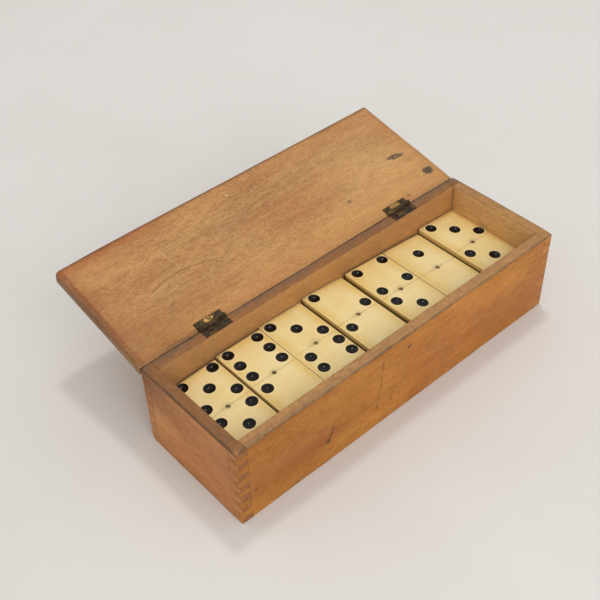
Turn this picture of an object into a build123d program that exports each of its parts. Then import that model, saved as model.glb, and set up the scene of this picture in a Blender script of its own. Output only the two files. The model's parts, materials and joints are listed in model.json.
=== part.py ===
from build123d import *
import math
import os

# A domino storage box that stands open, with its set of dominoes. Sizes are in millimetres.
# The origin is the centre of the box's underside. X runs along the box, Y from its front to its
# hinged back, and Z up. The box is worked out from the dominoes that it was made to hold.

# ---- Driving dimensions ----

# Dominoes
tile_width = 22.0
tile_length = 44.0
tile_thickness = 6.0  # what a tile has on average: the hand-cut tiles vary, see left_rise
back_thickness = 2.6  # the dark wooden back of a tile, under its bone face
tile_side_round = 0.5
tile_face_round = 0.3
tile_layers = 4
layer_gap = 0.03  # between a tile and what it lies on
tile_pin_radius = 0.8
tile_pin_sink = 0.12  # how far the pin's ends stay inside the tile
pip_radius = 2.5
pip_depth = 0.9
pip_pitch = 7.4
pip_group_offset = 11.5  # from the middle of the tile to the middle of a group of pips
line_width = 0.35  # the scribed line across the middle of the face
line_depth = 0.25

# The top layer, left to right, each as (pips at the back, pips at the front)
top_layer = [(5, 5), (6, 2), (3, 6), (2, 2), (4, 3), (1, 0), (3, 3)]

# How the seven columns of tiles lie in the box, left to right
gap_before = [2.3, 0.8, 0.15, 1.2, 1.6, 0.5, 1.15]  # to the wall or to the tile on the left
gap_after_last = 0.15
column_shift = [-0.1, 0.0, 0.75, 0.8, -0.1, 0.0, 0.6]  # off the middle, towards the back
tile_end_play = 2.0  # what the box is wider inside than a tile is long
left_rise = [-0.7, 1.4, 1.6, 2.5, 1.9, 0.3, 0.1]  # stack's left edge over the average height
right_rise = [0.4, 1.3, 1.0, 0.6, 0.3, -1.8, -1.0]  # stack's right edge over the average height

# Box
wall = 5.0
head_room = 12.0  # from the average top of the dominoes to the rim
panel_thickness = 4.0
panel_rebate = 2.0  # how far the bottom panel reaches under the side boards
panel_fit = 0.05
finger_count = 13  # rows of fingers up a corner: the end boards have the first and the last
corner_round = 0.6
rim_round = 0.4

# Lid
lid_thickness = 5.0
lid_gap = 0.2  # between the rim and the closed lid
lid_open_angle = 168.0
lid_front_setback = 0.2
lid_left_setback = 0.0
lid_right_setback = 1.1
lid_left_corner = 2.6  # worn corners of the free edge, seen from above
lid_right_corner = 1.2
lid_edge_round = 1.2
lid_inner_round = 0.35
stop_clearance = 0.03  # between the open lid and the arris that it leans on

# Hinges
hinge_length = 13.0
hinge_inset = 34.5  # from the end of the box to the middle of a hinge
hinge_setback = 0.5  # from the back wall's outer face to the hinge pin's axis
hinge_pin_radius = 0.5
hinge_pin_play = 0.05
knuckle_radius = 1.1
knuckle_gap = 0.15
knuckle_clearance = 0.25  # round the knuckles, to the wood
middle_knuckle = 4.6
leaf_thickness = 0.8
leaf_fit = 0.05  # round a leaf in its mortise
box_leaf_margin = 0.3  # rim left inside of the leaf
lid_leaf_reach = 3.6  # from the pin's axis to the leaf's far edge
leaf_corner_round = 0.3

# Hinge screws
screw_head_radius = 0.95
screw_head_height = 0.5
screw_shank_radius = 0.45
screw_length = 3.4
screw_sink = 0.02  # head under the leaf's face
screw_fit = 0.03
screw_end_inset = 2.4  # from the end of a leaf
screw_slot_width = 0.25
screw_slot_depth = 0.25

# ---- Worked out from them ----

column_count = len(top_layer)
inner_length = column_count * tile_width + sum(gap_before) + gap_after_last
inner_width = tile_length + tile_end_play
case_length = inner_length + 2 * wall
case_width = inner_width + 2 * wall
case_height = panel_thickness + tile_layers * tile_thickness + head_room
finger_height = case_height / finger_count

axis_y = case_width / 2 + hinge_setback
axis_z = case_height + lid_gap / 2

# The open lid's back face leans on the rim's rounded back arris. Both are measured from the pin's
# axis: the arris's centre as it is, and the face's distance across the lid.
open_turn = math.radians(lid_open_angle)
arris_y = -hinge_setback - rim_round
arris_z = -lid_gap / 2 - rim_round
lid_back_reach = arris_y * math.cos(open_turn) - arris_z * math.sin(open_turn) - rim_round - stop_clearance


# ---- Basic shapes ----


def block(x0, x1, y0, y1, z0, z1):
    """A box between two opposite corners."""
    return Pos((x0 + x1) / 2, (y0 + y1) / 2, (z0 + z1) / 2) * Box(x1 - x0, y1 - y0, z1 - z0)


def rod(radius, x0, x1, y, z):
    """A round bar along X."""
    return Pos((x0 + x1) / 2, y, z) * Rot(0, 90, 0) * Cylinder(radius, x1 - x0)


def slab(x0, x1, y0, y1, left, right):
    """A bar along Y whose section is level at the sides; left and right are its (low, high) heights."""
    section = Polyline((x0, left[0]), (x1, right[0]), (x1, right[1]), (x0, left[1]), close=True)
    return Pos(0, y1, 0) * extrude(Plane.XZ * make_face(section), y1 - y0)


def rounded(shape, edges, radius):
    """The shape with a radius on the edges, or as it is where the radius is 0."""
    return fillet(edges, radius) if radius > 0 else shape


def swung_open(shape):
    """A piece of the lid, drawn shut, turned back about the hinge pins."""
    return Pos(0, axis_y, axis_z) * Rot(-lid_open_angle, 0, 0) * Pos(0, -axis_y, -axis_z) * shape


# ---- Hinges ----

hinge_half = hinge_length / 2
knuckle_half = middle_knuckle / 2
hinge_centres = {"left": hinge_inset - case_length / 2, "right": case_length / 2 - hinge_inset}

# Each leaf as (its far edge, its lower face, its upper face), drawn with the lid shut
box_leaf_edge = case_width / 2 - wall + box_leaf_margin
lid_leaf_edge = axis_y - lid_leaf_reach
box_leaf_faces = (case_height - leaf_thickness, case_height)
lid_leaf_faces = (case_height + lid_gap, case_height + lid_gap + leaf_thickness)


def knuckles(centre, radius, middle, end_gap):
    """The middle knuckle, or the two outer ones, end_gap clear of their neighbours."""
    if middle:
        half = knuckle_half - end_gap / 2
        return rod(radius, centre - half, centre + half, axis_y, axis_z)
    inner = knuckle_half + end_gap / 2
    outer_left = rod(radius, centre - hinge_half, centre - inner, axis_y, axis_z)
    return outer_left + rod(radius, centre + inner, centre + hinge_half, axis_y, axis_z)


def screw_places(centre, leaf_edge):
    """The two screws of a leaf, as (x, y): near its ends, midway between its edge and the knuckles."""
    middle = (leaf_edge + axis_y - knuckle_radius) / 2
    reach = hinge_half - screw_end_inset
    return [(centre - reach, middle), (centre + reach, middle)]


def screw_body(x, y, face, inward, fit):
    """A countersunk screw whose head lies in the face; inward is the way that it was driven, +1 up."""
    head = Cone(screw_head_radius + fit, screw_shank_radius + fit, screw_head_height)
    shank = Cylinder(screw_shank_radius + fit, screw_length)
    head_place = face + inward * (screw_sink + screw_head_height / 2)
    shank_place = face + inward * (screw_sink + screw_length / 2)
    turn = Rot(180, 0, 0) if inward < 0 else Rot(0, 0, 0)
    return Pos(x, y, head_place) * turn * head + Pos(x, y, shank_place) * shank


def screw(x, y, face, inward):
    """The screw with its slot, which lies across the hinge."""
    slot_face = face + inward * screw_sink
    z0, z1 = sorted((slot_face, slot_face + inward * screw_slot_depth))
    reach = screw_head_radius
    slot = block(x - screw_slot_width / 2, x + screw_slot_width / 2, y - reach, y + reach, z0, z1)
    return screw_body(x, y, face, inward, 0.0) - slot


def leaf(centre, leaf_edge, faces, middle, face, inward):
    """A hinge leaf with its own knuckles, bored for the pin and clear of the other leaf's knuckles."""
    plate = block(centre - hinge_half, centre + hinge_half, leaf_edge, axis_y, *faces)
    far_corners = plate.edges().filter_by(Axis.Z).group_by(Axis.Y)[0]
    plate = rounded(plate, far_corners, leaf_corner_round)
    body = plate + knuckles(centre, knuckle_radius, middle, knuckle_gap)
    body -= knuckles(centre, knuckle_radius + knuckle_gap, not middle, -knuckle_gap)
    bore = hinge_pin_radius + hinge_pin_play
    body -= rod(bore, centre - hinge_length, centre + hinge_length, axis_y, axis_z)
    for x, y in screw_places(centre, leaf_edge):
        body -= screw_body(x, y, face, inward, screw_fit)
    return body


def mortise(centre, leaf_edge, faces, back):
    """The recess for a leaf and for the barrel, open at the board's back face."""
    reach = hinge_half + leaf_fit
    seat = block(centre - reach, centre + reach, leaf_edge - leaf_fit, back, *faces)
    return seat + rod(knuckle_radius + knuckle_clearance, centre - reach, centre + reach, axis_y, axis_z)


def fitted(board, leaf_edge, faces, back, face, inward):
    """A board with both hinge mortises and the pilot holes of their screws."""
    for centre in hinge_centres.values():
        board -= mortise(centre, leaf_edge, faces, back)
        for x, y in screw_places(centre, leaf_edge):
            board -= screw_body(x, y, face, inward, screw_fit)
    return board


# ---- Box ----


def case_shell():
    """The four side boards as one ring, with worn corners and rim, rebated for the bottom panel."""
    ring = block(-case_length / 2, case_length / 2, -case_width / 2, case_width / 2, 0, case_height)
    ring = rounded(ring, ring.edges().filter_by(Axis.Z), corner_round)
    ring -= block(-inner_length / 2, inner_length / 2, -inner_width / 2, inner_width / 2, 0, case_height)
    ring = rounded(ring, ring.edges().group_by(Axis.Z)[-1], rim_round)
    reach_x = inner_length / 2 + panel_rebate + panel_fit
    reach_y = inner_width / 2 + panel_rebate + panel_fit
    return ring - block(-reach_x, reach_x, -reach_y, reach_y, 0, panel_thickness)


def end_board_space(side):
    """What an end board takes of the ring, with its corner fingers; side is -1 left, +1 right."""
    x0, x1 = sorted((side * case_length / 2, side * inner_length / 2))
    space = block(x0, x1, -inner_width / 2, inner_width / 2, 0, case_height)
    for row in range(0, finger_count, 2):
        low = row * finger_height
        space += block(x0, x1, -case_width / 2, case_width / 2, low, low + finger_height)
    return space


def case_boards():
    """The ring cut apart along its finger joints, with the bottom panel."""
    ring = case_shell()
    left = end_board_space(-1)
    right = end_board_space(1)
    long_boards = ring - left - right
    front_half = block(-case_length, case_length, -case_width, 0, -case_height, 2 * case_height)
    reach_x = inner_length / 2 + panel_rebate
    reach_y = inner_width / 2 + panel_rebate
    back = case_width / 2 + knuckle_radius
    return {
        "front_wall": long_boards & front_half,
        "back_wall": fitted(long_boards - front_half, box_leaf_edge, box_leaf_faces, back, case_height, -1),
        "left_end": ring & left,
        "right_end": ring & right,
        "bottom_panel": block(-reach_x, reach_x, -reach_y, reach_y, 0, panel_thickness),
    }


# ---- Lid ----


def lid_board():
    """The lid, drawn shut, with its worn edges and its hinge mortises."""
    x0 = lid_left_setback - case_length / 2
    x1 = case_length / 2 - lid_right_setback
    back = axis_y + lid_back_reach
    low = case_height + lid_gap
    board = block(x0, x1, lid_front_setback - case_width / 2, back, low, low + lid_thickness)
    left_corner = board.edges().filter_by(Axis.Z).group_by(Axis.Y)[0].sort_by(Axis.X)[0]
    board = rounded(board, [left_corner], lid_left_corner)
    right_corner = board.edges().filter_by(Axis.Z).group_by(Axis.Y)[0].sort_by(Axis.X)[-1]
    board = rounded(board, [right_corner], lid_right_corner)
    board = rounded(board, board.edges().group_by(Axis.Z)[-1], lid_edge_round)
    inner_edges = board.edges().group_by(Axis.Z)[0].sort_by(Axis.Y)[:-1]
    board = rounded(board, inner_edges, lid_inner_round)
    return fitted(board, lid_leaf_edge, lid_leaf_faces, back, low, 1)


# ---- Dominoes ----

# Where the pips of a number lie, in steps of pip_pitch to the right and to the back
pip_layouts = {
    0: [],
    1: [(0, 0)],
    2: [(-1, 1), (1, -1)],
    3: [(-1, 1), (0, 0), (1, -1)],
    4: [(-1, 1), (1, 1), (-1, -1), (1, -1)],
    5: [(-1, 1), (1, 1), (0, 0), (-1, -1), (1, -1)],
    6: [(-1, 1), (-1, 0), (-1, -1), (1, 1), (1, 0), (1, -1)],
}


def column_left_edge(column):
    """Where a column's tiles start, from the gaps and tiles on their left."""
    return sum(gap_before[: column + 1]) + column * tile_width - inner_length / 2


def stack_height(column, layers):
    """The heights of the left and right edges of a column's top face, this many layers up."""
    left = panel_thickness + layers * (tile_thickness + left_rise[column] / tile_layers)
    right = panel_thickness + layers * (tile_thickness + right_rise[column] / tile_layers)
    return left, right


def pip_cutters(pips, group_y):
    """Balls that sink the pips of one half of a face, about the middle of the face."""
    ball = (pip_radius**2 + pip_depth**2) / (2 * pip_depth)
    lift = ball - pip_depth
    return [Pos(i * pip_pitch, group_y + j * pip_pitch, lift) * Sphere(ball) for i, j in pip_layouts[pips]]


def domino(column, layer, pips):
    """A tile's bone face, wooden back and brass pin; layer 0 lies on the bottom panel."""
    x0 = column_left_edge(column)
    x1 = x0 + tile_width
    y0 = column_shift[column] - tile_length / 2
    y1 = y0 + tile_length
    low_left, low_right = (height + layer_gap for height in stack_height(column, layer))
    top_left, top_right = stack_height(column, layer + 1)
    seam_left = low_left + back_thickness
    seam_right = low_right + back_thickness

    back = slab(x0, x1, y0, y1, (low_left, seam_left), (low_right, seam_right))
    back = rounded(back, back.edges().filter_by(Axis.Z), tile_side_round)
    face = slab(x0, x1, y0, y1, (seam_left, top_left), (seam_right, top_right))
    face = rounded(face, face.edges().filter_by(Axis.Z), tile_side_round)
    face = rounded(face, face.faces().sort_by(Axis.Z)[-1].edges(), tile_face_round)

    lean = math.degrees(math.atan2(top_left - top_right, tile_width))
    middle = Pos((x0 + x1) / 2, column_shift[column], (top_left + top_right) / 2) * Rot(0, lean, 0)
    line = Box(2 * tile_width, line_width, 2 * line_depth)
    cutters = [line, *pip_cutters(pips[0], pip_group_offset), *pip_cutters(pips[1], -pip_group_offset)]
    face -= [middle * cutter for cutter in cutters]

    pin_low = (low_left + low_right) / 2 + tile_pin_sink
    pin_high = (top_left + top_right) / 2 - tile_pin_sink
    pin_place = Pos((x0 + x1) / 2, column_shift[column], (pin_low + pin_high) / 2)
    pin = pin_place * Cylinder(tile_pin_radius, pin_high - pin_low)
    hole = pin_place * Cylinder(tile_pin_radius, 2 * tile_thickness)
    return face - hole, back - hole, pin


# The rest of the set lies under the tiles in sight, column by column
full_set = [(high, low) for high in range(7) for low in range(high + 1)]
in_sight = [tuple(sorted(pips, reverse=True)) for pips in top_layer]
hidden_tiles = [pips for pips in full_set if pips not in in_sight]


def domino_nodes():
    """The tiles in sight as three nodes each, and each tile under them as one node."""
    nodes = {}
    for column, pips in enumerate(top_layer):
        name = f"domino_{pips[0]}_{pips[1]}"
        face, back, pin = domino(column, tile_layers - 1, pips)
        nodes[f"{name}_face"] = face
        nodes[f"{name}_back"] = back
        nodes[f"{name}_pin"] = pin
    for place, pips in enumerate(hidden_tiles):
        column, layer = divmod(place, tile_layers - 1)
        nodes[f"domino_{pips[0]}_{pips[1]}"] = Compound(domino(column, layer, pips))
    return nodes


# ---- The whole object ----


def hinge_nodes():
    """Both hinges: a leaf in the box, a leaf in the open lid, the pin and the screws."""
    nodes = {}
    lid_face = case_height + lid_gap
    for side, centre in hinge_centres.items():
        pin_ends = (centre - hinge_half, centre + hinge_half)
        box_leaf = leaf(centre, box_leaf_edge, box_leaf_faces, False, case_height, -1)
        lid_leaf = leaf(centre, lid_leaf_edge, lid_leaf_faces, True, lid_face, 1)
        box_screws = [screw(x, y, case_height, -1) for x, y in screw_places(centre, box_leaf_edge)]
        lid_screws = [screw(x, y, lid_face, 1) for x, y in screw_places(centre, lid_leaf_edge)]
        nodes[f"{side}_hinge_box_leaf"] = box_leaf
        nodes[f"{side}_hinge_lid_leaf"] = swung_open(lid_leaf)
        nodes[f"{side}_hinge_pin"] = rod(hinge_pin_radius, *pin_ends, axis_y, axis_z)
        nodes[f"{side}_hinge_box_screws"] = Compound(box_screws)
        nodes[f"{side}_hinge_lid_screws"] = Compound([swung_open(one) for one in lid_screws])
    return nodes


def all_nodes():
    """Every piece of the object by the name of its node."""
    return {**case_boards(), "lid_board": swung_open(lid_board()), **hinge_nodes(), **domino_nodes()}


os.makedirs("parts", exist_ok=True)
for name, shape in all_nodes().items():
    export_step(shape, f"parts/{name}.step")
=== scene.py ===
import json
import math

import bmesh
import bpy
from mathutils import Matrix, Vector, noise

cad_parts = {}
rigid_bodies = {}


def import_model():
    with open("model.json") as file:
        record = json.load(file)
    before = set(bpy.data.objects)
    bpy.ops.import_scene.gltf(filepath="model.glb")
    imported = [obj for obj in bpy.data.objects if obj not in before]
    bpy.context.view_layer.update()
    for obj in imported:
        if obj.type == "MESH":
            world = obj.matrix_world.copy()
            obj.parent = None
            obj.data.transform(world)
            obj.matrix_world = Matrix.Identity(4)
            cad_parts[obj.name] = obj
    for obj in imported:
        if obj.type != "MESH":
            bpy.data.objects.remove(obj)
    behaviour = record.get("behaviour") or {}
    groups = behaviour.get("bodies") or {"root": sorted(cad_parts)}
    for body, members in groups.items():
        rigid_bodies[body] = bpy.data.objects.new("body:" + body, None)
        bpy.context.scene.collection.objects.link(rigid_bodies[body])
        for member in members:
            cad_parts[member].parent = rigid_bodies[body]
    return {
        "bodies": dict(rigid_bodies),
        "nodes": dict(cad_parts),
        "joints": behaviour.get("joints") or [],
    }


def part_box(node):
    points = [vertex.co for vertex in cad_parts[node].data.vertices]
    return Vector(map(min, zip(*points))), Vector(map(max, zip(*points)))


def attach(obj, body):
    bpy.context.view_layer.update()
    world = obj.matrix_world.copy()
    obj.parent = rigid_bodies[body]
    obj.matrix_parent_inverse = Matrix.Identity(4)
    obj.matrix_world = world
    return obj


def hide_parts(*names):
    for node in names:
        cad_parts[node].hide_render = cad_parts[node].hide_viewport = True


bl_info = {
    "name": "Domino box",
    "version": (1, 0, 0),
    "blender": (4, 5, 0),
    "location": "View3D > Sidebar > Domino box",
    "description": "Dresses the CAD frame of a domino box: worn boards, aged brass hinges and bone dominoes",
    "category": "Add Mesh",
}

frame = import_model()
nodes = frame["nodes"]
MM = 0.001
BEYOND = 1 * MM  # how far a cutter reaches past the face that it cuts
HAIR = 0.01 * MM  # what lies nearer than this is in the same place
CELL = 4.5 * MM  # about how long the cells of a board's mesh are
SHARP = 35  # degrees: an edge that turns by more is shown sharp

# ---- What the frame says ----


def points_of(names):
    """The corners of the meshes of some CAD nodes, in metres."""
    return [v.co.copy() for name in names for v in nodes[name].data.vertices]


def reach(points):
    """The lowest and the highest corner round some points."""
    low = Vector(min(p[axis] for p in points) for axis in range(3))
    high = Vector(max(p[axis] for p in points) for axis in range(3))
    return low, high


lid_hinge = next(joint for joint in frame["joints"] if joint["name"] == "lid_hinge")
hinge_axis = Vector(lid_hinge["pos_m"])
open_angle = math.radians(lid_hinge["range_deg"][1] - lid_hinge["range_deg"][0])
to_axis = Matrix.Translation(hinge_axis)
to_open = to_axis @ Matrix.Rotation(-open_angle, 4, "X") @ to_axis.inverted()
to_shut = to_open.inverted()

case_low, case_high = reach(points_of(["front_wall", "back_wall", "left_end", "right_end"]))
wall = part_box("front_wall")[1].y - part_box("front_wall")[0].y
lid_low, lid_high = reach([to_shut @ p for p in points_of(["lid_board"])])
tiles = sorted({body for body in frame["bodies"] if body.startswith("domino_")})
tile_nodes = {tile: [n for n in nodes if n == tile or n.startswith(f"{tile}_")] for tile in tiles}


def tone(red, green, blue):
    """A colour as a screen shows it, from 0 to 255, in the linear values that Blender counts in."""
    def linear(level):
        level /= 255
        return level / 12.92 if level <= 0.04045 else ((level + 0.055) / 1.055) ** 2.4
    return linear(red), linear(green), linear(blue), 1.0


# ---- Settings ----


def length(name, description, millimetres, **more):
    return bpy.props.FloatProperty(name=name, description=description, default=millimetres * MM,
                                   subtype="DISTANCE", unit="LENGTH", precision=5, **more)


def colour(name, description, red, green, blue):
    return bpy.props.FloatVectorProperty(name=name, description=description, default=tone(red, green, blue),
                                         subtype="COLOR", size=4, min=0, max=1)


def number(name, description, value, **more):
    return bpy.props.FloatProperty(name=name, description=description, default=value, **more)


def count(name, description, value, **more):
    return bpy.props.IntProperty(name=name, description=description, default=value, **more)


def angle(name, description, degrees):
    return bpy.props.FloatProperty(name=name, description=description, default=math.radians(degrees),
                                   subtype="ANGLE", unit="ROTATION")


class CaseSettings(bpy.types.PropertyGroup):
    finger_rows: count("Finger rows", "Rows of fingers up a corner of the box", 13, min=3)
    corner_round: length("Corner round", "Radius of the upright corners", 0.8)
    rim_round: length("Rim round", "Radius of the rim's arrises", 0.35)
    foot_round: length("Foot round", "Radius of the lower arrises", 0.3)
    finger_round: length("Finger round", "Worn edge round each finger, which shows the joint", 0.09)
    wear: length("Wear", "How deep the hand plane and the years have dished the boards", 0.22)
    corner_wear: length("Corner wear", "How far the rim's corners are worn down", 0.35)
    worst_corner: length("Worst corner", "How much more the front left corner is worn down", 0.5)
    panel_rebate: length("Panel rebate", "How far the bottom panel reaches under the boards", 2.05)
    front_light: colour("Front light", "Pale wood of the long boards", 204, 136, 50)
    front_dark: colour("Front dark", "Dark wood of the long boards", 165, 96, 25)
    end_light: colour("End light", "Pale wood of the end boards", 218, 152, 82)
    end_dark: colour("End dark", "Dark wood of the end boards", 177, 109, 54)
    panel_light: colour("Panel light", "Pale wood of the bottom panel", 196, 150, 98)
    panel_dark: colour("Panel dark", "Dark wood of the bottom panel", 150, 104, 62)


class LidSettings(bpy.types.PropertyGroup):
    left_corner: length("Left corner", "Radius of the free edge's left corner", 2.6)
    right_corner: length("Right corner", "Radius of the free edge's right corner", 1.3)
    edge_round: length("Edge round", "Radius round the upper face", 1.2)
    inner_round: length("Inner round", "Radius round the inner face", 0.4)
    left_round: length("Left round", "Radius of the inner face's worn left edge", 1.5)
    wear: length("Wear", "How deep the faces are dished", 0.2)
    light: colour("Light", "Pale wood of the lid", 207, 158, 96)
    dark: colour("Dark", "Dark wood of the lid", 164, 114, 66)


class HingeSettings(bpy.types.PropertyGroup):
    leaf_thickness: length("Leaf thickness", "Thickness of a hinge leaf", 0.8)
    leaf_fit: length("Leaf fit", "Room round a leaf in its mortise", 0.05)
    barrel_room: length("Barrel room", "Radius of the hollow round the knuckles", 1.35)
    head_radius: length("Head radius", "Radius of a screw head", 0.93)
    head_height: length("Head height", "Height of a screw head's cone", 0.5)
    head_dome: length("Head dome", "How far a screw head is domed", 0.1)
    shank_radius: length("Shank radius", "Radius of a screw's shank", 0.43)
    screw_length: length("Screw length", "Length of a screw", 3.4)
    slot_width: length("Slot width", "Width of a screw's slot", 0.25)
    patina: colour("Patina", "Blackened brass", 78, 60, 38)
    brass: colour("Brass", "Rubbed brass", 190, 150, 84)
    screw: colour("Screw", "Darkened iron of the screws", 52, 49, 50)


class TileSettings(bpy.types.PropertyGroup):
    back_thickness: length("Back thickness", "Thickness of the wooden back", 2.6)
    side_round: length("Side round", "Radius of a tile's upright edges", 0.5)
    face_round: length("Face round", "Radius round a tile's face", 0.2)
    pip_radius: length("Pip radius", "Radius of a pip", 2.5)
    pip_depth: length("Pip depth", "Depth of a pip", 0.9)
    pip_pitch: length("Pip pitch", "Distance from pip to pip", 7.4)
    group_offset: length("Group offset", "From a tile's middle to the middle of its pips", 11.5)
    line_width: length("Line width", "Width of the scribed line", 0.2)
    line_depth: length("Line depth", "Depth of the scribed line", 0.08)
    pin_radius: length("Pin radius", "Radius of the brass pin", 0.8)
    pin_sink: length("Pin sink", "How far the pin's ends stay inside the tile", 0.12)
    bone: colour("Bone", "Polished bone", 240, 218, 158)
    old_bone: colour("Old bone", "Yellowed bone near the edges", 228, 190, 104)
    dirt: colour("Dirt", "Dirt in the corners of the bone", 118, 98, 50)
    pip: colour("Pip", "Black paint of the pips", 13, 11, 10)
    back: colour("Back", "Dark wood of the backs", 58, 36, 22)
    pin: colour("Pin", "Dull brass of the pins", 138, 118, 68)


class StageSettings(bpy.types.PropertyGroup):
    floor: colour("Floor", "Pale plaster that the box stands on", 228, 225, 221)
    backdrop: colour("Backdrop", "Pale room behind the floor", 232, 230, 227)
    key_power: number("Key power", "Power of the large soft lamp", 6.6, min=0, subtype="POWER", unit="POWER")
    top_power: number("Top power", "Power of the lamp overhead, which glints in the pips", 2.4, min=0,
                      subtype="POWER", unit="POWER")
    room_light: number("Room light", "Strength of the light from all round", 0.67, min=0)
    camera_place: bpy.props.FloatVectorProperty(
        name="Camera place", description="Where the photograph was taken from",
        default=(-0.20910, -0.20838, 0.31436), subtype="TRANSLATION", unit="LENGTH")
    camera_azimuth: angle("Camera azimuth", "The camera's turn round the upright, from the front", -40.567)
    camera_elevation: angle("Camera elevation", "The camera's angle above the horizon", 43.063)
    camera_roll: angle("Camera roll", "The camera's tilt", -1.968)
    camera_lens: number("Camera lens", "Focal length in millimetres, on a sensor 36 mm wide", 61.31,
                        subtype="DISTANCE_CAMERA", min=1)


GROUPS = {"domino_case": CaseSettings, "domino_lid": LidSettings, "domino_hinge": HingeSettings,
          "domino_tile": TileSettings, "domino_stage": StageSettings}


# ---- Node trees ----


class Signal:
    """A node's output that can be added, multiplied and so on, each as one more Math node."""

    def __init__(self, net, socket):
        self.net, self.socket = net, socket

    def __add__(self, other):
        return self.net.math("ADD", self, other)

    def __sub__(self, other):
        return self.net.math("SUBTRACT", self, other)

    def __rsub__(self, other):
        return self.net.math("SUBTRACT", other, self)

    def __mul__(self, other):
        return self.net.math("MULTIPLY", self, other)

    def __truediv__(self, other):
        return self.net.math("DIVIDE", self, other)

    def __pow__(self, other):
        return self.net.math("POWER", self, other)

    def __gt__(self, other):
        return self.net.math("GREATER_THAN", self, other)

    def __lt__(self, other):
        return self.net.math("LESS_THAN", self, other)

    def __abs__(self):
        return self.net.math("ABSOLUTE", self)

    __radd__, __rmul__ = __add__, __mul__


class Net:
    """Adds nodes to a tree and joins them up."""

    ROW = 12

    def __init__(self, tree):
        self.tree = tree
        tree.nodes.clear()

    def node(self, kind, inputs=None, **settings):
        """A new node with its properties set, and its inputs fed by name or by place."""
        made = self.tree.nodes.new(kind)
        place = len(self.tree.nodes) - 1
        made.location = (200 * (place % self.ROW), -260 * (place // self.ROW))
        for key, value in settings.items():
            setattr(made, key, value)
        for key, value in (inputs or {}).items():
            self.feed(self.pick(made.inputs, key), value)
        return made

    @staticmethod
    def pick(sockets, key):
        live = [socket for socket in sockets if socket.enabled]
        return next(s for s in live if s.name == key) if isinstance(key, str) else live[key]

    def feed(self, socket, value):
        if isinstance(value, (list, tuple)) and any(isinstance(part, Signal) for part in value):
            for part in value:
                self.tree.links.new(part.socket, socket)
        elif isinstance(value, Signal):
            self.tree.links.new(value.socket, socket)
        else:
            socket.default_value = value

    def out(self, kind, inputs=None, key=0, **settings):
        """A new node's output."""
        made = self.node(kind, inputs, **settings)
        return Signal(self, self.pick(made.outputs, key))

    def math(self, operation, a, b=None, c=None):
        inputs = {place: value for place, value in enumerate((a, b, c)) if value is not None}
        return self.out("ShaderNodeMath", inputs, operation=operation)

    def least(self, a, b):
        return self.math("MINIMUM", a, b)

    def most(self, a, b):
        return self.math("MAXIMUM", a, b)

    def middle(self, a, b, c):
        """The middle one of three values."""
        return self.most(self.least(a, b), self.least(self.most(a, b), c))

    def blend(self, a, b, share):
        """From a to b as share goes from 0 to 1, for plain numbers."""
        return self.out("ShaderNodeMix", {"Factor": share, "A": a, "B": b}, key="Result")

    def fade(self, value, start, end):
        """0 below start and 1 above end, smooth between; start may be the larger."""
        inputs = {"Value": value, "From Min": start, "From Max": end, "To Min": 0.0, "To Max": 1.0}
        if start > end:
            inputs.update({"From Min": end, "From Max": start, "To Min": 1.0, "To Max": 0.0})
        return self.out("ShaderNodeMapRange", inputs, interpolation_type="SMOOTHSTEP", key="Result")

    def split(self, vector):
        made = self.node("ShaderNodeSeparateXYZ", {0: vector})
        return [Signal(self, socket) for socket in made.outputs]

    def join(self, x, y, z):
        return self.out("ShaderNodeCombineXYZ", {0: x, 1: y, 2: z})

    def vector(self, operation, a, b=None, key=0):
        inputs = {0: a} if b is None else {0: a, 1: b}
        return self.out("ShaderNodeVectorMath", inputs, key=key, operation=operation)

    def noise(self, place, scale, detail=2.0, rough=0.5, distortion=0.0):
        """Cloudy values about 0.5; scale is in cells a metre, one number or one for each axis."""
        if isinstance(scale, tuple):
            place, scale = self.vector("MULTIPLY", place, scale), 1.0
        return self.out("ShaderNodeTexNoise", {"Vector": place, "Scale": scale, "Detail": detail,
                                               "Roughness": rough, "Distortion": distortion})

    def carried(self, name):
        """The vector that the mesh carries under this name."""
        return self.out("ShaderNodeAttribute", key="Vector", attribute_name=name)

    def tint(self, a, b, share, blend="MIX"):
        """Colour a turned towards colour b."""
        inputs = {"Factor": share, "A": a, "B": b}
        return self.out("ShaderNodeMix", inputs, key="Result", data_type="RGBA", blend_type=blend)

    def spot(self, u, v, centre, radii, turn=0.0, soft=0.35, rough=0.0, place=None):
        """1 inside an ellipse on the plane of u and v, 0 outside; rough frays its edge."""
        du, dv = u - centre[0], v - centre[1]
        cos, sin = math.cos(turn), math.sin(turn)
        along, across = du * cos + dv * sin, dv * cos - du * sin
        distance = self.math("SQRT", (along / radii[0]) ** 2.0 + (across / radii[1]) ** 2.0)
        if rough:
            distance = distance + (self.noise(place, 900.0, 3.0) - 0.5) * rough
        return self.fade(distance, 1.0 + soft, 1.0 - soft)

    def stroke(self, u, v, points, width):
        """1 on a thin line through the points, 0 off it."""
        nearest = None
        for (u0, v0), (u1, v1) in zip(points, points[1:]):
            run, rise = u1 - u0, v1 - v0
            du, dv = u - u0, v - v0
            share = self.middle((du * run + dv * rise) / (run * run + rise * rise), 0.0, 1.0)
            off = self.vector("LENGTH", self.join(du - share * run, dv - share * rise, 0.0), key="Value")
            nearest = off if nearest is None else self.least(nearest, off)
        return self.fade(nearest, width, width * 0.3)


class Coat:
    """A colour, and the colours laid over it one after another."""

    def __init__(self, net, shade):
        self.net, self.shade = net, shade

    def __call__(self, colour, share, blend="MIX"):
        self.shade = self.net.tint(self.shade, colour, share, blend)


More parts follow.
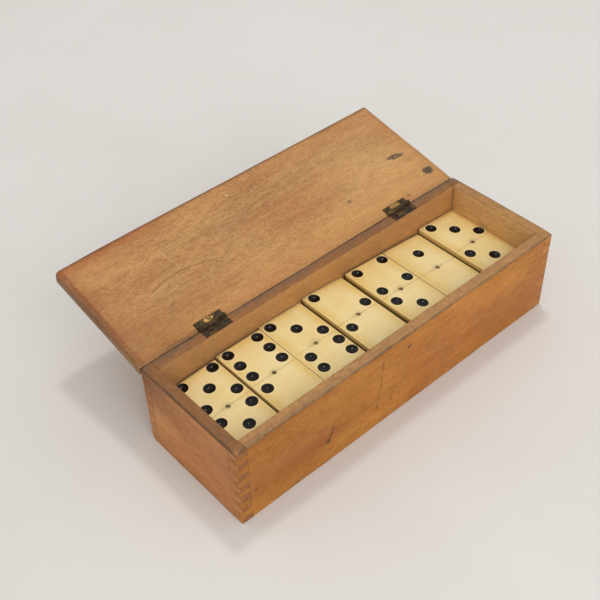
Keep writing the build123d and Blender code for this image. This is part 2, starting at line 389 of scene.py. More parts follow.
def painted(name, draw):
    """A material whose surface is drawn by draw(net, surface), where surface is its Principled BSDF."""
    material = bpy.data.materials.new(name)
    material.use_nodes = True
    net = Net(material.node_tree)
    surface = net.node("ShaderNodeBsdfPrincipled")
    ending = net.node("ShaderNodeOutputMaterial")
    net.tree.links.new(surface.outputs["BSDF"], ending.inputs["Surface"])
    draw(net, surface)
    return material


def set_surface(net, surface, base=None, roughness=None, height=None, depth=0.0002, **fixed):
    """Feeds a surface its colour, its roughness, its bump in metres, and what is the same all over."""
    if base is not None:
        net.feed(surface.inputs["Base Color"], base)
    if roughness is not None:
        net.feed(surface.inputs["Roughness"], roughness)
    if height is not None:
        bump = net.out("ShaderNodeBump", {"Height": height, "Distance": depth, "Strength": 1.0})
        net.feed(surface.inputs["Normal"], bump)
    for key, value in fixed.items():
        surface.inputs[key.replace("_", " ")].default_value = value


# ---- Materials ----

# Colours laid over the woods, in linear values
REDDENED = (0.42, 0.14, 0.045, 1.0)
FLECK = (0.115, 0.042, 0.014, 1.0)
PALE_GRAIN = (0.72, 0.43, 0.18, 1.0)
END_PORES = (0.10, 0.038, 0.014, 1.0)
DIRT = (0.045, 0.022, 0.011, 1.0)
GREY_DIRT = (0.14, 0.1, 0.06, 1.0)
RUBBED = (0.66, 0.36, 0.15, 1.0)
RED = (0.4, 0.115, 0.02, 1.0)
END_TONE = (0.5, 0.215, 0.068, 1.0)

# Over the box
PALE_INSIDE = (0.72, 0.49, 0.25, 1.0)
LIT_RIGHT_END = (0.92, 0.68, 0.32, 1.0)
INSIDE_VEIN = (0.24, 0.105, 0.03, 1.0)
DULL_LEFT = (0.27, 0.18, 0.105, 1.0)
RIM = (0.52, 0.33, 0.17, 1.0)
RIM_GRAIN = (0.24, 0.115, 0.045, 1.0)
RIM_SPECK = (0.78, 0.56, 0.32, 1.0)

# Over the lid
LEFT_EDGE = (0.28, 0.15, 0.08, 1.0)
LEFT_BAND = (0.19, 0.06, 0.018, 1.0)
FAR_EDGE = (0.10, 0.05, 0.025, 1.0)
HINGE_SIDE = (0.58, 0.27, 0.07, 1.0)
RIGHT_SIDE = (0.70, 0.41, 0.17, 1.0)
BRUISE = (0.80, 0.54, 0.29, 1.0)
DARK_MARK = (0.028, 0.028, 0.024, 1.0)
SCRATCH = (0.13, 0.05, 0.018, 1.0)
SCRAPE = (0.80, 0.56, 0.30, 1.0)

# Colours that shade by multiplying what is under them
DIM = (0.86, 0.86, 0.86, 1.0)
RIM_SHADE = (0.95, 0.92, 0.80, 1.0)
LEFT_RIM_SHADE = (0.54, 0.45, 0.37, 1.0)
BACK_RIM_SHADE = (0.62, 0.49, 0.38, 1.0)
RIGHT_RIM_SHADE = (0.87, 0.84, 0.70, 1.0)
FAR_CORNER_SHADOW = (0.50, 0.42, 0.36, 1.0)
LID_END_SHADE = (0.80, 0.74, 0.70, 1.0)
LID_HINGE_SHADE = (0.76, 0.72, 0.66, 1.0)

# Over the metals
BLACKENED = (0.010, 0.007, 0.005, 1.0)
PIT = (0.08, 0.075, 0.045, 1.0)
WORN_IRON = (0.30, 0.27, 0.22, 1.0)
PIN_TARNISH = (0.035, 0.03, 0.016, 1.0)

# Over the dominoes, and the floor's smudges
HALO = (0.94, 0.80, 0.46, 1.0)
BONE_BLUSH = (0.88, 0.58, 0.30, 1.0)
BONE_FRONT_SHADOW = (0.40, 0.36, 0.17, 1.0)
SMEAR = (0.32, 0.28, 0.13, 1.0)
PIN_RING = (0.06, 0.04, 0.018, 1.0)
LINE = (0.42, 0.26, 0.09, 1.0)
BACK_GAP_SHADOW_AND_DIRT = (0.05, 0.03, 0.012, 1.0)
PALE_EDGE = (0.95, 0.80, 0.50, 1.0)
FOOT_SHADOW_AND_DIRT = (0.07, 0.045, 0.018, 1.0)
PIP_RIM = (0.06, 0.035, 0.018, 1.0)
PIP_DUST_AND_SHEEN = (0.05, 0.045, 0.05, 1.0)
DARK_BACK = (0.012, 0.007, 0.004, 1.0)
SMUDGE = (0.42, 0.39, 0.37, 1.0)


def wood_group():
    """Fine-grained fruitwood cut along X, seen on any face: long grain, flecks, and darker end grain."""
    tree = bpy.data.node_groups.new("fruitwood", "ShaderNodeTree")
    for label, kind in (("Place", "NodeSocketVector"), ("Facing", "NodeSocketVector"),
                        ("Light", "NodeSocketColor"), ("Dark", "NodeSocketColor"), ("Cut", "NodeSocketFloat"),
                        ("Fleck", "NodeSocketFloat")):
        tree.interface.new_socket(label, in_out="INPUT", socket_type=kind)
    for label, kind in (("Color", "NodeSocketColor"), ("Roughness", "NodeSocketFloat"),
                        ("Height", "NodeSocketFloat")):
        tree.interface.new_socket(label, in_out="OUTPUT", socket_type=kind)
    net = Net(tree)
    given = net.node("NodeGroupInput")
    place, facing, light, dark, cut, flecked = (Signal(net, given.outputs[i]) for i in range(6))
    end = net.fade(abs(net.split(facing)[0]), 0.6, 0.8)
    # Noise drawn out along the grain, from broad figure to fine pores
    bend = net.noise(place, (9.0, 30.0, 30.0), 2.0) * 0.012
    bent = net.vector("ADD", place, net.join(0.0, bend, bend))
    figure = net.noise(bent, (6.0, 75.0, 75.0), 3.0, 0.55, 0.6)
    cloud = net.noise(place, (22.0, 55.0, 55.0), 3.0, 0.6)
    mottle = net.noise(bent, (150.0, 480.0, 480.0), 4.0, 0.7)
    grain = net.noise(bent, (420.0, 1700.0, 1700.0), 4.0, 0.7)
    streak = net.noise(bent, (45.0, 1200.0, 1200.0), 3.0, 0.6)
    fleck = net.fade(net.noise(bent, (560.0, 2100.0, 2100.0), 3.0, 0.6), 0.54, 0.7) * flecked
    pores = net.fade(net.noise(place, (900.0, 2600.0, 2600.0), 1.0, 0.5), 0.55, 0.7)
    pale = net.fade(net.noise(bent, (330.0, 1500.0, 1500.0), 3.0, 0.7), 0.6, 0.74)
    share = (net.fade(figure, 0.32, 0.68) * 0.3 + net.fade(cloud, 0.34, 0.66) * 0.42
             + net.fade(mottle, 0.36, 0.66) * 0.34 + net.fade(streak, 0.3, 0.7) * 0.12
             + (grain - 0.5) * 1.9 * (flecked * 0.7 + 0.3))
    coat = Coat(net, net.tint(light, dark, share))
    reddened = net.fade(net.noise(place, (15.0, 38.0, 38.0), 3.0), 0.46, 0.7)
    coat(REDDENED, reddened * 0.38)
    coat(FLECK, fleck * 0.28)
    coat(PALE_GRAIN, pale * 0.26)
    coat(END_PORES, end * cut * (pores * 0.3 + 0.12 + mottle * 0.28))
    roughness = 0.44 + streak * 0.12 + fleck * 0.12 + end * 0.14
    height = streak * 0.3 + figure * 0.15 + mottle * 0.15 - fleck * 0.6 - end * pores * 0.7
    ending = net.node("NodeGroupOutput")
    for socket, value in zip(ending.inputs, (coat.shade, roughness, height)):
        net.feed(socket, value)
    return tree


def wood(name, group, light, dark, grain="X", shift=(0.0, 0.0, 0.0), cut=0.4, fleck=0.4, shut=False,
         finish=None):
    """A board's material. grain is the way its grain runs, cut is how dark its end grain is, fleck how
    strong its flecks, shut puts the lid's coordinates back on the box, and finish(net, place, coat) lays
    colours on the coat and returns extra roughness and extra height."""

    def draw(net, surface):
        coordinates = net.node("ShaderNodeTexCoord")
        place, facing = (Signal(net, coordinates.outputs[key]) for key in ("Object", "Normal"))
        if shut:
            back = to_shut.to_euler()
            place = net.out("ShaderNodeMapping", {"Vector": place, "Location": to_shut.translation,
                                                  "Rotation": back}, vector_type="POINT")
            facing = net.out("ShaderNodeMapping", {"Vector": facing, "Rotation": back}, vector_type="POINT")
        turn = (0.0, 0.0, math.radians(90) if grain == "Y" else 0.0)
        along = net.out("ShaderNodeMapping", {"Vector": place, "Rotation": turn, "Location": shift})
        aimed = net.out("ShaderNodeMapping", {"Vector": facing, "Rotation": turn})
        made = net.node("ShaderNodeGroup", node_tree=group)
        for socket, value in zip(made.inputs, (along, aimed, light, dark, cut, fleck)):
            net.feed(socket, value)
        shade, rough, high = (Signal(net, socket) for socket in made.outputs)
        coat = Coat(net, shade)
        more_rough, more_high = finish(net, place, coat) if finish else (0.0, 0.0)
        set_surface(net, surface, coat.shade, rough + more_rough, high + more_high, 0.00012,
                    Coat_Weight=0.06, Coat_Roughness=0.4, Specular_IOR_Level=0.3)

    return painted(name, draw)


def case_finish(net, place, coat):
    """Wear on the arrises, dirt in the corners and joints, a paler inside with painted light on the right
    end's inner face, a greyed rim, and painted shadow high on the left end towards the back.
    """
    x, y, z = net.split(place)
    half_length, half_width, height = case_high.x, case_high.y, case_high.z
    dx, dy = half_length - abs(x), half_width - abs(y)
    # How far off the arrises, inner corners and joints are, each with a ragged border
    ragged = (net.noise(place, 160.0, 3.0, 0.6) - 0.5) * 0.0012
    patchy = net.fade(net.noise(place, 90.0, 4.0, 0.65), 0.35, 0.65)
    arris = net.middle(dx, dy, net.least(height - z, z)) + ragged
    inner = net.most(height - z, abs(net.least(dx, dy) - wall)) + ragged
    corner = net.most(abs(dx - wall), abs(dy - wall)) + ragged * 0.5
    row = height / bpy.context.scene.domino_case.finger_rows
    rows = abs(net.math("FRACT", z / row + 0.5) - 0.5) * row
    outside = net.least(dx, dy) < 0.0004
    near = net.most(dx, dy) < wall + 0.0002
    joint = net.fade(rows + ragged * 0.3, 0.00030, 0.0) * near * outside
    seam = net.fade(abs(net.most(dx, dy) - wall) + ragged * 0.5, 0.00045, 0.0) * outside
    seam = seam * net.fade(net.noise(place, 420.0, 2.0), 0.35, 0.6)
    # The inside, paler, with painted light on the right end's inner face, and the ends of the fingers
    inside = net.fade(net.least(dx, dy), wall - 0.0003, wall + 0.0003)
    top = net.fade(z, height - 0.0018, height - 0.0006) * (1.0 - inside)
    grime = net.fade(net.noise(place, 34.0, 4.0, 0.6), 0.42, 0.75)
    right_side = net.fade(x, half_length - wall - 0.0012, half_length - wall - 0.0004)
    # Painted light on the right end's inner face, over the paler inside
    inside_tone_and_light = net.tint(PALE_INSIDE, LIT_RIGHT_END, right_side)
    coat(inside_tone_and_light, inside * (right_side * 0.2 + 0.65))
    veins = net.fade(net.noise(place, (300.0, 300.0, 1500.0), 4.0, 0.8), 0.46, 0.62)
    coat(INSIDE_VEIN, inside * veins * 0.65)
    coat(DULL_LEFT, inside * net.fade(x, 0.03, -0.06) * (veins * 0.2 + 0.3))
    ends_seen = net.fade(half_length - abs(x), 0.0010, 0.0004) * near
    coat(END_TONE, ends_seen * net.fade(y, -half_width, half_width * 0.4) * 0.4 + ends_seen * 0.4)
    # Dirt and rubbing on the arrises, in the joints and in the corners
    coat(DIRT, net.fade(arris, 0.0030, 0.0006) * grime * 0.3)
    left_face = net.fade(x, -half_length + 0.0016, -half_length + 0.0008)
    coat(DIRT, net.fade(arris, 0.0012, 0.0003) * top * (patchy * 0.4 + 0.35))
    coat(DIRT, net.fade(arris, 0.0026, 0.0008) * top * left_face * (patchy * 0.2 + 0.2))
    coat(RUBBED, net.fade(arris, 0.0008, 0.0002) * (1.0 - patchy) * (1.0 - left_face) * 0.35)
    coat(DIRT, net.most(joint * 0.3, seam * 0.45) * (patchy * 0.6 + 0.4))
    coat(DIRT, net.fade(corner, 0.0013, 0.0) * inside * 0.75)
    coat(DIRT, net.fade(abs(dx - wall * 0.5), 0.0016, 0.0002) * top * (x < 0.0) * patchy * 0.3)
    # The rim: worn grey and grainy, and of another shade on each side
    rim = net.fade(z, height - 0.0006, height - 0.0002)
    speck = net.fade(net.noise(place, 1100.0, 3.0, 0.7), 0.58, 0.7)
    rough_grain = net.fade(net.noise(place, 420.0, 4.0, 0.75), 0.42, 0.62)
    coat(RIM, rim * 0.5)
    coat(RIM_GRAIN, rim * rough_grain * 0.4)
    coat(RIM_SPECK, rim * speck * 0.4)
    left_side = net.fade(x, wall + 0.0004 - half_length, wall - 0.0004 - half_length)
    back_side = net.fade(y, half_width - wall - 0.0004, half_width - wall + 0.0004) * (1.0 - left_side)
    coat(RIM_SHADE, rim, "MULTIPLY")
    for side, toned in ((left_side, LEFT_RIM_SHADE), (back_side, BACK_RIM_SHADE),
                        (right_side, RIGHT_RIM_SHADE)):
        coat(toned, rim * side, "MULTIPLY")
    # Painted shadow of the lid, high on the left end towards the back
    far_corner = net.fade(y, -0.012, half_width) * net.fade(z, 0.012, height) * left_side
    coat(FAR_CORNER_SHADOW, far_corner * (1.0 - rim) * (1.0 - inside), "MULTIPLY")
    greyed = net.fade(net.noise(place, (60.0, 200.0, 200.0), 3.0), 0.35, 0.65)
    coat(GREY_DIRT, rim * greyed * (1.0 - left_side) * 0.14)
    hinge_side = net.fade(y + ragged * 2.0, half_width - wall * 0.7, half_width - wall * 0.3)
    coat(GREY_DIRT, rim * hinge_side * (greyed * 0.35 + 0.15))
    coat(DIRT, net.fade(arris, 0.0011, 0.0002) * rim * (patchy * 0.3 + 0.2))
    coat(DIRT, net.fade(inner, 0.0007, 0.0001) * patchy * 0.3)
    return grime * 0.08, (joint + seam) * -0.5


def front_finish(net, place, coat):
    """The front board's knot, nicks and long crack, over the wear that all the boards have."""
    rough, high = case_finish(net, place, coat)
    x, y, z = net.split(place)
    front = y < case_low.y + wall / 2
    coat(DIM, net.fade(x, 0.03, -0.07) * front, "MULTIPLY")
    fray = (net.noise(place, 700.0, 3.0, 0.7) - 0.5) * 0.0016
    u, w = x - case_low.x + fray, z + fray
    knot = net.spot(u, z, (0.0430, 0.0117), (0.0017, 0.0015), turn=0.4, soft=0.6, rough=1.4, place=place)
    core = net.spot(u, z, (0.0434, 0.0117), (0.0007, 0.0008), soft=0.4)
    core = net.most(core, net.stroke(u, w, ((0.0434, 0.0117), (0.0448, 0.0152), (0.0459, 0.0178)), 0.0006))
    nick = net.spot(u, w, (0.0859, 0.0332), (0.0012, 0.0006), turn=0.7, soft=0.5)
    path = ((0.0717, 0.0345), (0.0715, 0.0275), (0.0707, 0.0208), (0.0689, 0.0111))
    crack = net.stroke(u, w, path, 0.0005)
    crack = crack * net.fade(net.noise(place, 260.0, 3.0), 0.34, 0.52)
    crack_end = net.spot(u, w, (0.0689, 0.0114), (0.0006, 0.0012), soft=0.5)
    faint = net.stroke(u, w, ((0.0768, 0.0091), (0.0776, 0.0143)), 0.0006)
    dents = net.most(net.spot(u, w, (0.0075, 0.0140), (0.0008, 0.0006), turn=0.4),
                     net.spot(u, w, (0.0168, 0.0100), (0.0008, 0.0004)))
    cracked = net.most(crack * 0.48, crack_end * 0.6)
    marks = net.most(net.most(knot * 0.6, core * 0.95), net.most(nick, cracked))
    marks = net.most(marks, net.most(faint * 0.3, dents * 0.45)) * front
    coat(DIRT, marks * 0.85)
    return rough, high - marks * 0.8


def lid_finish(net, place, coat):
    """The lid: worn and dirty edges, two dark marks by its right end, small spots and fine scratches."""
    x, y, z = net.split(place)
    dx, dy = net.least(x - lid_low.x, lid_high.x - x), net.least(y - lid_low.y, lid_high.y - y)
    dz = net.least(z - lid_low.z, lid_high.z - z)
    ragged = (net.noise(place, 150.0, 3.0, 0.6) - 0.5) * 0.0016
    arris = net.middle(dx, dy, dz) + ragged
    under = net.fade(z, lid_low.z + 0.0012, lid_low.z + 0.0004)
    # u runs from the box's left end and v from the hinge's axis; the far edge is the lid's front
    u, v = x - case_low.x, hinge_axis.y - y
    free = lid_high.y - lid_low.y - v
    far = net.fade(free + ragged * 3.0, 0.0062, 0.0030) * net.fade(u + ragged * 8.0, 0.075, 0.02)
    end = x - lid_low.x + ragged * 0.6
    coat(LEFT_EDGE, net.fade(end, 0.0016, 0.0010) * 0.6)
    left = net.fade(abs(end - 0.0022), 0.0013, 0.0003) * net.fade(net.noise(place, 60.0, 2.0), 0.22, 0.45)
    coat(LEFT_BAND, left * under * 0.72)
    coat(LID_END_SHADE, net.fade(end, 0.010, 0.001) * under * 0.7, "MULTIPLY")
    coat(RED, far * under * 0.48)
    far_arris = net.fade(free + ragged * 0.5, 0.0021, 0.0012) * net.fade(z - lid_low.z, 0.0012, 0.0005)
    coat(FAR_EDGE, far_arris * 0.75)
    coat(HINGE_SIDE, net.fade(v + ragged * 4.0, 0.026, 0.006) * 0.22)
    coat(RIGHT_SIDE, net.fade(u, 0.085, 0.16) * 0.22)
    near_hinge = net.fade(u, 0.060, 0.004) * net.fade(v, 0.034, 0.004)
    coat(LID_HINGE_SHADE, near_hinge * under, "MULTIPLY")
    redder = net.fade(net.least(dx, dy) + ragged * 4.0, 0.014, 0.0)
    coat(RED, redder * under * 0.22)
    grime = net.fade(net.noise(place, 30.0, 4.0, 0.6), 0.4, 0.75)
    coat(DIRT, net.fade(arris, 0.0028, 0.0006) * (grime * 0.4 + 0.12))
    coat(RUBBED, net.fade(arris, 0.0007, 0.0001) * 0.25)
    coat(GREY_DIRT, net.fade(net.least(dx, dy), 0.0005, 0.0001) * 0.18)
    bruise = net.fade(net.noise(place, 75.0, 3.0, 0.6), 0.56, 0.7)
    bruise = bruise * net.fade(net.noise(place, 900.0, 3.0, 0.7), 0.45, 0.6)
    coat(BRUISE, bruise * under * 0.16)
    # The marks
    fray = (net.noise(place, 800.0, 3.0, 0.7) - 0.5) * 0.0014
    eaten = net.fade(net.noise(place, 1300.0, 3.0, 0.7), 0.36, 0.5)
    long_mark = net.spot(u, v, (0.1590, 0.0239), (0.0042, 0.0013), turn=-0.17, rough=1.0, place=place)
    long_mark = long_mark * (eaten * 0.6 + 0.4)
    round_mark = net.spot(u, v, (0.1654, 0.0090), (0.0027, 0.0021), rough=1.0, place=place)
    round_mark = round_mark * (eaten * 0.4 + 0.6)
    small = net.spot(u, v, (0.1227, 0.0156), (0.0010, 0.0008), soft=0.4, rough=0.8, place=place)
    tick = net.spot(u + fray, v, (0.1470, 0.0030), (0.0009, 0.0006), soft=0.4)
    path = ((0.0247, 0.0252), (0.0330, 0.0275), (0.0409, 0.0277), (0.0490, 0.0263), (0.0550, 0.0245),
            (0.0572, 0.0212))
    scratch = net.stroke(u + fray * 0.3, v + fray * 0.3, path, 0.0003)
    path = ((0.0398, 0.0389), (0.0412, 0.0314), (0.0412, 0.0290), (0.0380, 0.0299))
    scrape = net.stroke(u + fray, v + fray, path, 0.0003)
    pale = net.spot(u, v, (0.0815, 0.0492), (0.0007, 0.0004), soft=0.4)
    marks = net.most(net.most(long_mark, round_mark), net.most(small * 0.6, tick * 0.6)) * under
    coat(DARK_MARK, marks * 0.92)
    coat(SCRATCH, scratch * under * 0.6)
    coat(SCRAPE, net.most(scrape * 0.35, pale * 0.8) * under)
    return grime * 0.1, marks * -0.8 - scratch * 0.5


def metal(name, dark, bright, rub):
    """Aged metal: blackened in the hollows, and bright where rub(net, place) says that it is rubbed."""

    def draw(net, surface):
        place = net.out("ShaderNodeTexCoord", key="Object")
        blotch = net.fade(net.noise(place, 620.0, 4.0, 0.65), 0.38, 0.66)
        pits = net.fade(net.noise(place, 2600.0, 3.0, 0.6), 0.5, 0.7)
        rubbed = rub(net, place) * net.fade(net.noise(place, 1100.0, 4.0, 0.7), 0.4, 0.56)
        coat = Coat(net, net.tint(dark, BLACKENED, blotch * 0.8))
        coat(bright, rubbed)
        coat(PIT, pits * 0.3)
        rough = net.blend(0.62, 0.34, rubbed) + blotch * 0.1
        set_surface(net, surface, coat.shade, rough, blotch * -0.3 - pits * 0.6, 0.00008, Metallic=0.75)

    return painted(name, draw)


def bone_material(look):
    """Bone that knows its pips: clean round them, yellow at the edges, dirty in the corners and the line,
    with painted shadow towards its front and in the gaps by its edges.
    """

    def draw(net, surface):
        # Where the point is on its tile, from the face's middle, and what the tile says of itself
        u, v, w = net.split(net.carried("tile_place"))
        back, front, seed = net.split(net.carried("tile_pips"))
        at_back = v > 0.0
        shifts = [net.carried(name) for name in ("tile_shift_front", "tile_shift_back")]
        moved_by = net.out("ShaderNodeMix", {"Factor": at_back, "A": shifts[0], "B": shifts[1]}, key="Result",
                           data_type="VECTOR")
        shift_u, shift_v, _ = net.split(moved_by)
        half_width, half_length, _ = net.split(net.carried("tile_spread"))
        left_step, right_step, _ = net.split(net.carried("tile_steps"))
        ground = net.out("ShaderNodeTexCoord", key="Object")
        moved = net.vector("ADD", ground, net.join(seed * 0.37, seed * 0.11, seed * 0.23))
        # The nearest pip, by the same rule as the one that drills them
        pips = net.blend(front, back, at_back)
        step = look.pip_pitch
        i = u - shift_u
        j = abs(v) - look.group_offset
        j = j * net.blend(-1.0, 1.0, at_back) - shift_v
        odd = net.math("MODULO", pips, 2.0) > 0.5

        def far(x, y, shown):
            """The distance to a pip at (x, y), or to its twin on the other side of the group's middle."""
            first = net.vector("LENGTH", net.join(i - x, j - y, 0.0), key="Value")
            twin = net.vector("LENGTH", net.join(i + x, j + y, 0.0), key="Value")
            return net.least(first, twin) + (1.0 - shown) * 0.05

        nearest = net.least(far(0.0, 0.0, odd), far(-step, step, pips > 1.5))
        nearest = net.least(nearest, net.least(far(step, step, pips > 3.5), far(step, 0.0, pips > 5.5)))
        side = net.least(half_width - abs(u), half_length - abs(v))
        corner = net.vector("LENGTH", net.join(half_width - abs(u), half_length - abs(v), 0.0), key="Value")
        middle = net.vector("LENGTH", net.join(u, v, 0.0), key="Value")

        # Bone, yellowed towards its edges and clean round the pips
        cloud = net.noise(moved, 70.0, 3.0, 0.6)
        vessels = net.fade(net.noise(moved, (1500.0, 90.0, 900.0), 3.0, 0.6), 0.6, 0.78)
        specks = net.fade(net.noise(moved, 900.0, 3.0, 0.7), 0.64, 0.76)
        ragged = (net.noise(moved, 260.0, 3.0, 0.7) - 0.5) * 0.004
        age = net.fade(cloud, 0.3, 0.75) * 0.45 + net.fade(side + ragged, 0.0055, 0.0) * 0.6
        halo = net.fade(nearest, look.pip_radius + 0.0011, look.pip_radius + 0.0002)
        coat = Coat(net, net.tint(look.bone, look.old_bone, net.least(age, 1.0)))
        coat(HALO, halo * 0.3)
        coat(BONE_BLUSH, net.fade(net.noise(moved, 45.0, 3.0), 0.5, 0.75) * 0.18)
        # Painted shadow of the front wall, darkening the front part of each face
        coat(BONE_FRONT_SHADOW, net.fade(v + ragged * 2.0, -0.005, -0.022) * 0.25)
        coat(look.dirt, vessels * 0.14)
        coat(look.dirt, specks * net.fade(side, 0.006, 0.0) * 0.7)
        # Dirt in the corners, round the pin, in the line and in the pips' rims
        stain = net.fade(corner + ragged, 0.0030, 0.0006)
        stain = stain * net.fade(net.noise(moved, 130.0, 2.0), 0.42, 0.62)
        coat(look.dirt, stain * 0.6)
        stretched = net.vector("LENGTH", net.join(u * 0.7, v * 1.3 - 0.0007, 0.0), key="Value")
        smear = net.fade(stretched + ragged * 1.4, 0.0030, 0.0006)
        coat(SMEAR, smear * 0.35)
        pin_ring = net.fade(middle, look.pin_radius + 0.0004, look.pin_radius + 0.0001)
        coat(PIN_RING, pin_ring * 0.6)
        line = net.fade(abs(v), look.line_width * 1.2, look.line_width * 0.4)
        coat(LINE, line * 0.42)
        rim = net.fade(nearest, look.pip_radius + 0.00025, look.pip_radius) * 0.6
        coat(look.dirt, rim * net.fade(w, -0.00002, 0.0) * 0.6)
        # The edges, and the side faces where they rise out of a lower neighbour, darkened in the gaps by dirt
        # and painted shadow
        # A dark line along each tile's back edge: dirt, and painted shadow of the gap behind it
        coat(BACK_GAP_SHADOW_AND_DIRT, net.fade(half_length - v, 0.0007, 0.0002) * 0.75)
        edge = net.fade(side, 0.0005, 0.0002) * net.fade(w, -0.0007, -0.0002)
        coat(PALE_EDGE, edge * 0.45)
        # Below the lower neighbour's face the side sits in the gap: painted shadow of the gap, with dirt
        higher = net.blend(right_step, left_step, u < 0.0)
        foot = net.fade(w + higher, 0.0, -0.0007) * (higher > 0.0001)
        foot = foot * net.fade(half_width - abs(u), 0.0005, 0.0002)
        coat(FOOT_SHADOW_AND_DIRT, foot * 0.7)
        coat(look.dirt, net.fade(w, -0.0026, -0.0032) * 0.35)
        rough = 0.24 + vessels * 0.12 + specks * 0.2 + age * 0.1 + smear * 0.25
        set_surface(net, surface, coat.shade, rough, cloud * 0.25 - vessels * 0.3 - specks * 0.4, 0.00006,
                    Subsurface_Weight=0.12, Subsurface_Radius=(0.0016, 0.0010, 0.0005), Subsurface_Scale=1.0,
                    Coat_Weight=0.1, Coat_Roughness=0.2, Specular_IOR_Level=0.4)

    return painted("polished_bone", draw)


def pip_material(look):
    """Glossy black paint in the dimples, with dust towards the rim, and a painted sheen, broken by dust, in
    the middle of each dimple.
    """

    def draw(net, surface):
        place = net.out("ShaderNodeTexCoord", key="Object")
        _, _, w = net.split(net.carried("tile_place"))
        dust = net.fade(net.noise(place, 1400.0, 4.0, 0.7), 0.5, 0.72)
        worn = net.fade(w + (net.noise(place, 1100.0, 3.0) - 0.5) * 0.0003, -0.00022, -0.00002)
        shade = net.tint(look.pip, PIP_RIM, dust * 0.1 + worn * 0.5)
        # A paler middle in each dimple: a painted reflection, broken by dust
        shade = net.tint(shade, PIP_DUST_AND_SHEEN, net.fade(w, -0.00042, -0.0008) * dust * 0.3)
        set_surface(net, surface, shade, 0.13 + dust * 0.1 + worn * 0.3, dust * 0.4, 0.00004,
                    Specular_IOR_Level=0.2)

    return painted("pip_black", draw)


def plain_material(name, base, low_tone, rough, depth, scale, **fixed):
    """A finish of two tones in small clouds, with its grain as bump."""

    def draw(net, surface):
        place = net.out("ShaderNodeTexCoord", key="Object")
        cloud = net.noise(place, scale, 4.0, 0.6)
        fine = net.noise(place, tuple(part * 7.0 for part in scale), 3.0, 0.6)
        shade = net.tint(base, low_tone, net.fade(cloud, 0.35, 0.7))
        set_surface(net, surface, shade, rough + fine * 0.15, fine * 0.7 + cloud * 0.3, depth, **fixed)

    return painted(name, draw)


# ---- Meshes ----


def add_object(name, mesh, *materials):
    """An object with this mesh and these materials, at the origin."""
    made = bpy.data.objects.new(name, mesh)
    bpy.context.scene.collection.objects.link(made)
    for material in materials:
        mesh.materials.append(material)
    return made


def to_plain(made):
    """Turns the object and its modifiers into one plain mesh."""
    graph = bpy.context.evaluated_depsgraph_get()
    mesh = bpy.data.meshes.new_from_object(made.evaluated_get(graph), preserve_all_data_layers=True,
                                           depsgraph=graph)
    old = made.data
    made.modifiers.clear()
    made.data = mesh
    mesh.name = made.name
    bpy.data.meshes.remove(old)
    return made


def write_smooth(bm, mesh, smooth_angle=SHARP):
    """Writes the bmesh into the mesh, smooth but for edges sharper than the angle."""
    limit = math.radians(smooth_angle)
    for face in bm.faces:
        face.smooth = True
    for edge in bm.edges:
        edge.smooth = len(edge.link_faces) == 2 and edge.calc_face_angle(0) < limit
    bm.to_mesh(mesh)
    bm.free()
    return mesh


def mesh_from(name, bm, smooth_angle=SHARP):
    """A new mesh from the bmesh, smooth but for its sharp edges."""
    return write_smooth(bm, bpy.data.meshes.new(name), smooth_angle)


def sharpened(made):
    """Closes any pinhole that cutting has left, and marks the sharp edges, so that the rest is smooth."""
    bm = bmesh.new()
    bm.from_mesh(made.data)
    bmesh.ops.holes_fill(bm, edges=bm.edges[:], sides=0)
    write_smooth(bm, made.data)
    return made


def steps(start, end, wanted):
    """Even steps from start to end, each about as long as wanted."""
    parts = max(1, round((end - start) / wanted))
    return [start + (end - start) * part / parts for part in range(parts + 1)]


def board_cells(xs, ys, zs, filled):
    """A closed board built of cells between the steps xs, ys and zs, where filled(i, j, k) says so."""
    bm = bmesh.new()
    corners = {}

    def corner(i, j, k):
        if (i, j, k) not in corners:
            corners[i, j, k] = bm.verts.new((xs[i], ys[j], zs[k]))
        return corners[i, j, k]

    sizes = (len(xs) - 1, len(ys) - 1, len(zs) - 1)

    def wood_at(cell):
        return all(0 <= part < size for part, size in zip(cell, sizes)) and filled(*cell)

    for i in range(sizes[0]):
        for j in range(sizes[1]):
            for k in range(sizes[2]):
                if not wood_at((i, j, k)):
                    continue
                for axis in range(3):
                    for way in (0, 1):
                        beside = [i, j, k]
                        beside[axis] += 1 if way else -1
                        if wood_at(tuple(beside)):
                            continue
                        first, second = (axis + 1) % 3, (axis + 2) % 3
                        ring = []
                        for a, b in ((0, 0), (1, 0), (1, 1), (0, 1)):
                            at = [i, j, k]
                            at[axis] += way
                            at[first] += a
                            at[second] += b
                            ring.append(corner(*at))
                        bm.faces.new(ring if way else ring[::-1])
    bm.normal_update()
    return bm


def weigh_edges(bm, radius_of, widest):
    """Gives each sharp edge its share of the widest bevel, by radius_of(middle, direction)."""
    layer = bm.edges.layers.float.new("bevel_weight_edge")
    for edge in bm.edges:
        if edge.calc_face_angle(0) > math.radians(45):
            a, b = (vert.co for vert in edge.verts)
            edge[layer] = radius_of((a + b) / 2, (b - a).normalized()) / widest


def bevel(made, widest, segments=3):
    """Rounds the object's edges by their shares of the widest bevel."""
    modifier = made.modifiers.new("worn_edges", "BEVEL")
    modifier.limit_method = "WEIGHT"
    modifier.offset_type = "OFFSET"
    modifier.width = widest
    modifier.segments = segments
    modifier.use_clamp_overlap = False
    modifier.miter_outer = "MITER_ARC"


def cut(made, cutters):
    """Takes the cutters out of the object, and removes them."""
    for place, cutter in enumerate(cutters):
        modifier = made.modifiers.new(f"cut_{place}", "BOOLEAN")
        modifier.operation = "DIFFERENCE"
        modifier.solver = "EXACT"
        modifier.object = cutter
    to_plain(made)
    for cutter in cutters:
        mesh = cutter.data
        bpy.data.objects.remove(cutter)
        bpy.data.meshes.remove(mesh)
    return made


